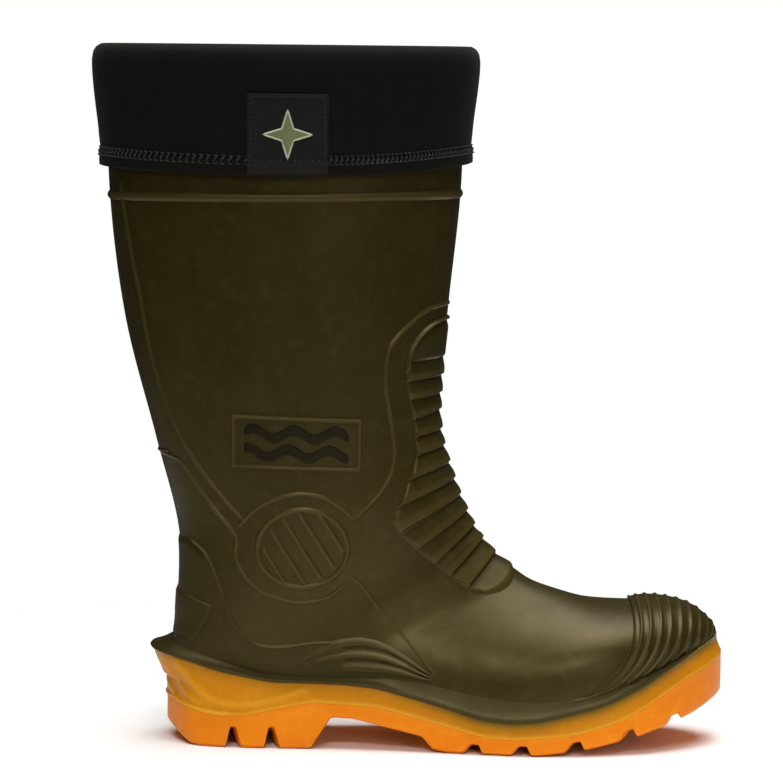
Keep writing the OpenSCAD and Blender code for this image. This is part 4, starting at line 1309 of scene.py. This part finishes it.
def liner_seams():
    """Flat seams: up the back of the leg, round the sole of the foot, and round the ankle."""
    proud, radius, sole_edge = 0.08, 0.36, FLAT_END * 1.25
    back, sole = even_stations(0.7, 7, 3), even_stations(7, 15.3, 3)
    toe = np.linspace(-1, 1, 25)[1:-1] * sole_edge
    ankle = np.linspace(-1, 1, 161)[:-1]
    round_sole = np.concatenate([
        liner_point(sole, -sole_edge, proud), liner_point(sole[-1], toe, proud),
        liner_point(sole[::-1], sole_edge, proud),
    ])
    return [
        tube(liner_point(back, 0, proud), radius, around=6), tube(round_sole, radius, around=6),
        tube(liner_point(LEG_END, ankle, proud), radius, closed=True, around=6),
    ]


leg = piece("liner_leg_knit", [liner_leg()], *LINER_FABRIC, ["liner_leg"])
foot = piece("liner_foot_knit", [liner_foot()], *LINER_FABRIC, ["liner_foot"])
piece("liner_flat_seams", liner_seams(), HEM_THREAD, "liner", "hem_thread")

# ---- Cuff

CUFF_PLACES = 420
SHAFT_X = -69  # the middle of the shaft at the rim
# The cuff's outside: height from the rim, and distance out from the shell.
CUFF_OUTSIDE = [
    [-64, 5.0], [-60, 5.3], [-57, 5.1], [-54.6, 4.1], [-52, 4.6], [-47, 5.2], [-41, 5.7],
    [-30, 6.8], [-16, 8.2], [-8, 8.9], [-3, 9.0], [1, 8.4], [3.6, 6.9], [5.0, 4.6],
]


def hem_lift(p):
    """How far the hem is lifted: it hangs lowest at the middle of each side."""
    ahead = np.clip((p[..., 0] + 68) / 100, -1, 1)
    return np.where(ahead > 0, 6.0, 3.2) * np.abs(ahead) ** 2.2


def puff(ring, z):
    """Slow swells of the soft cuff, with finer ones on top."""
    return np.array([
        0.85 * noise.noise(Vector((x / 34, y / 34, z / 46 + 3)))
        + 0.25 * noise.noise(Vector((x / 13 + 9, y / 13, z / 24))) for x, y, _ in ring
    ])


def away(points):
    """The level direction from the middle of the shaft to each point."""
    level = points - np.array([SHAFT_X, 0, 0])
    level[..., 2] = 0
    return unit(level)


def cuff_row(out, height, swell=1.0):
    """A ring of the cuff, out from the shell, at a height from the rim."""
    ring = rings([0], CUFF_PLACES, out)[0]
    weight = float(smooth((-height - 18) / 40))  # the hem's lift fades out towards the rim
    z = RIM + height + weight * (hem_lift(ring) - 1.0)
    ring = ring + away(ring) * (swell * puff(ring, height))[:, None]
    ring[:, 2] = z
    return ring


# The rest of the cuff's section, as distance out and height: over the fold, and the inside.
CUFF_OVER = [
    (4.2, 5.15), (2.2, 5.3), (0, 5.3), (-2.5, 5.2), (-5, 4.5), (-6.8, 3.2), (-7.9, 1.4),
    (-8.3, -1), (-8.3, -5.5), (-8.3, -10),
]
CUFF_INSIDE = [
    (-4.3, -10), (-4.3, -4), (-4.3, 0.3), (-3.2, 0.7), (0, 0.7), (0.9, 0.2), (1.0, -8),
    (1.0, -28), (1.0, -50), (1.2, -60.5), (2.2, -63), (3.6, -63.2),
]


def cuff_cloth():
    """The folded cuff as one closed section carried round the shaft."""
    heights = [*np.linspace(-62.6, -52, 15), *np.linspace(-50, 1, 26), 2.2, 3.3, 4.2, 4.8]
    section = [(table(h, CUFF_OUTSIDE), h, 1.0) for h in heights]
    section += [(*row, 0.4) for row in CUFF_OVER] + [(*row, 0) for row in CUFF_INSIDE]
    return loft(np.array([cuff_row(*row) for row in section]).transpose(1, 0, 2), loop=True)


cuff = piece("liner_cuff_knit", [cuff_cloth()], *LINER_FABRIC, ["liner_cuff", "cuff_hem"])


CUFF_SIDE = np.array([
    cuff_row(table(h, CUFF_OUTSIDE), h)[: CUFF_PLACES // 2 + 1] for h in np.linspace(-62, 4, 45)
])


def on_cuff(x, z, out):
    """Points on the outer side of the cuff at x and z, moved out from it."""
    x, z, out = alike(x, z, out)
    result = np.zeros(x.shape + (3,))
    for index in np.ndindex(x.shape):
        y, height = (
            [np.interp(x[index], row[:, 0], row[:, k]) for row in CUFF_SIDE] for k in (1, 2)
        )
        result[index] = (x[index], np.interp(z[index], height, y) - out[index], z[index])
    return result


def stitch(a, b, radius, rise):
    """One stitch of the hem: it leaves the cloth at a, stands proud, and dives back at b."""
    middle = (a + b) / 2
    out = away(middle)
    line = [a - out * 0.3, middle + out * rise, b - out * 0.3]
    return tube(line, [0.6 * radius, radius, 0.6 * radius], around=6)


def hem_stitches():
    """A cover stitch: two rows of short stitches with loops crossing between them."""
    lower, upper = (cuff_row(table(h, CUFF_OUTSIDE) + 0.12, h) for h in (-57.2, -52.8))
    parts = []
    for i in range(0, CUFF_PLACES, 2):
        following = (i + 1) % CUFF_PLACES
        parts.append(stitch(lower[i], upper[following], radius=0.5, rise=0.5))
        parts += [
            stitch(row[i], row[following], radius=0.45, rise=0.35) for row in (lower, upper)
        ]
    return parts


piece("hem_cover_stitch", hem_stitches(), HEM_THREAD, "liner", "hem_thread", ["hem_stitching"])

LABEL_MIDDLE = (-66.5, 334.0)
LABEL_HALF = 21.6


def on_label(across, up, out):
    return on_cuff(LABEL_MIDDLE[0] + across, LABEL_MIDDLE[1] + up, out)


def label_patch():
    """A square of cloth with a turned hem."""
    a = np.linspace(-1, 1, 45)
    across, up = np.meshgrid(LABEL_HALF * a, -LABEL_HALF * a)
    edge = np.minimum(1 - np.abs(a)[None, :], 1 - np.abs(a)[:, None]) * LABEL_HALF
    hem = smooth(edge / 0.5) * 0.45 + 0.35 * (1 - smooth((edge - 2.6) / 0.8))
    return slab(on_label(across, up, 0.8 + hem), on_label(across, up, 0.1))


label = piece("cuff_label_patch", [label_patch()], LABEL, "liner", "label_textile",
              ["cuff_label"], sharp=60)


def label_stitches():
    """Running stitches along the four sides of the label."""
    per_side = 17
    corners = (LABEL_HALF - 1.7) * np.array([(-1, -1), (1, -1), (1, 1), (-1, 1)])
    parts = []
    for a, b in zip(corners, np.roll(corners, -1, axis=0)):
        for k in range(per_side):
            p, q = (a + (b - a) * (k + end) / per_side for end in (0.15, 0.85))
            across, up = np.array([p, (p + q) / 2, q]).T
            parts.append(tube(on_label(across, up, [1.25, 1.6, 1.25]), [0.2, 0.3, 0.2], around=6))
    return parts


piece("label_stitches", label_stitches(), LABEL_THREAD, "liner", "label_thread",
      ["label_stitching"])


def star_line(steps):
    """A four-pointed star's outline, with a number of steps on each straight side."""
    tip, waist = 13, 13 * 0.34
    corners = np.array([
        (radius * math.cos(k * math.pi / 4), radius * math.sin(k * math.pi / 4))
        for k, radius in enumerate((tip, waist) * 4)
    ])
    return np.array([
        a + (b - a) * k / steps
        for a, b in zip(corners, np.roll(corners, -1, axis=0)) for k in range(steps)
    ]).T


def emblem_fill():
    """The star as a low dome of thread."""
    across, up = star_line(6)
    levels = (
        (1.0, 1.0), (0.99, 1.45), (0.9, 1.65), (0.6, 1.8), (0.3, 1.85), (0.02, 1.85), (0.02, 1.0),
    )
    return loft(np.array([on_label(across * size, up * size, out) for size, out in levels]))


def emblem_edge():
    return tube(on_label(*star_line(8), 1.5), radius=0.5, closed=True)


piece("label_emblem_fill", [emblem_fill()], EMBLEM, "liner", "emblem_thread", ["label_emblem"])
piece("label_emblem_edge", [emblem_edge()], EMBLEM_EDGE, "liner", "emblem_thread")

# ---- Floor

def studio_floor():
    """A plain pale round floor."""
    radius_m, a = 0.5, round_angles(128)
    rim = np.stack([radius_m * np.cos(a), radius_m * np.sin(a), 0 * a], -1)
    mesh = bpy.data.meshes.new("studio_floor")
    mesh.from_pydata(rim.tolist(), [], [list(range(len(a)))])
    s = Shader("floor_paper", Specular_IOR_Level=0.1)
    mesh.materials.append(s.finish(
        s.mix(s.fit(s.noise(3, 3), 0.3, 0.7), (246, 246, 245), (250, 250, 249)),
        s.fit(s.noise(20, 2), 0.3, 0.7, 0.8, 0.9)))
    obj = bpy.data.objects.new("studio_floor", mesh)
    scene.collection.objects.link(obj)
    obj.location.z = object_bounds()[0][2] - 0.0002
    obj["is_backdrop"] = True


studio_floor()
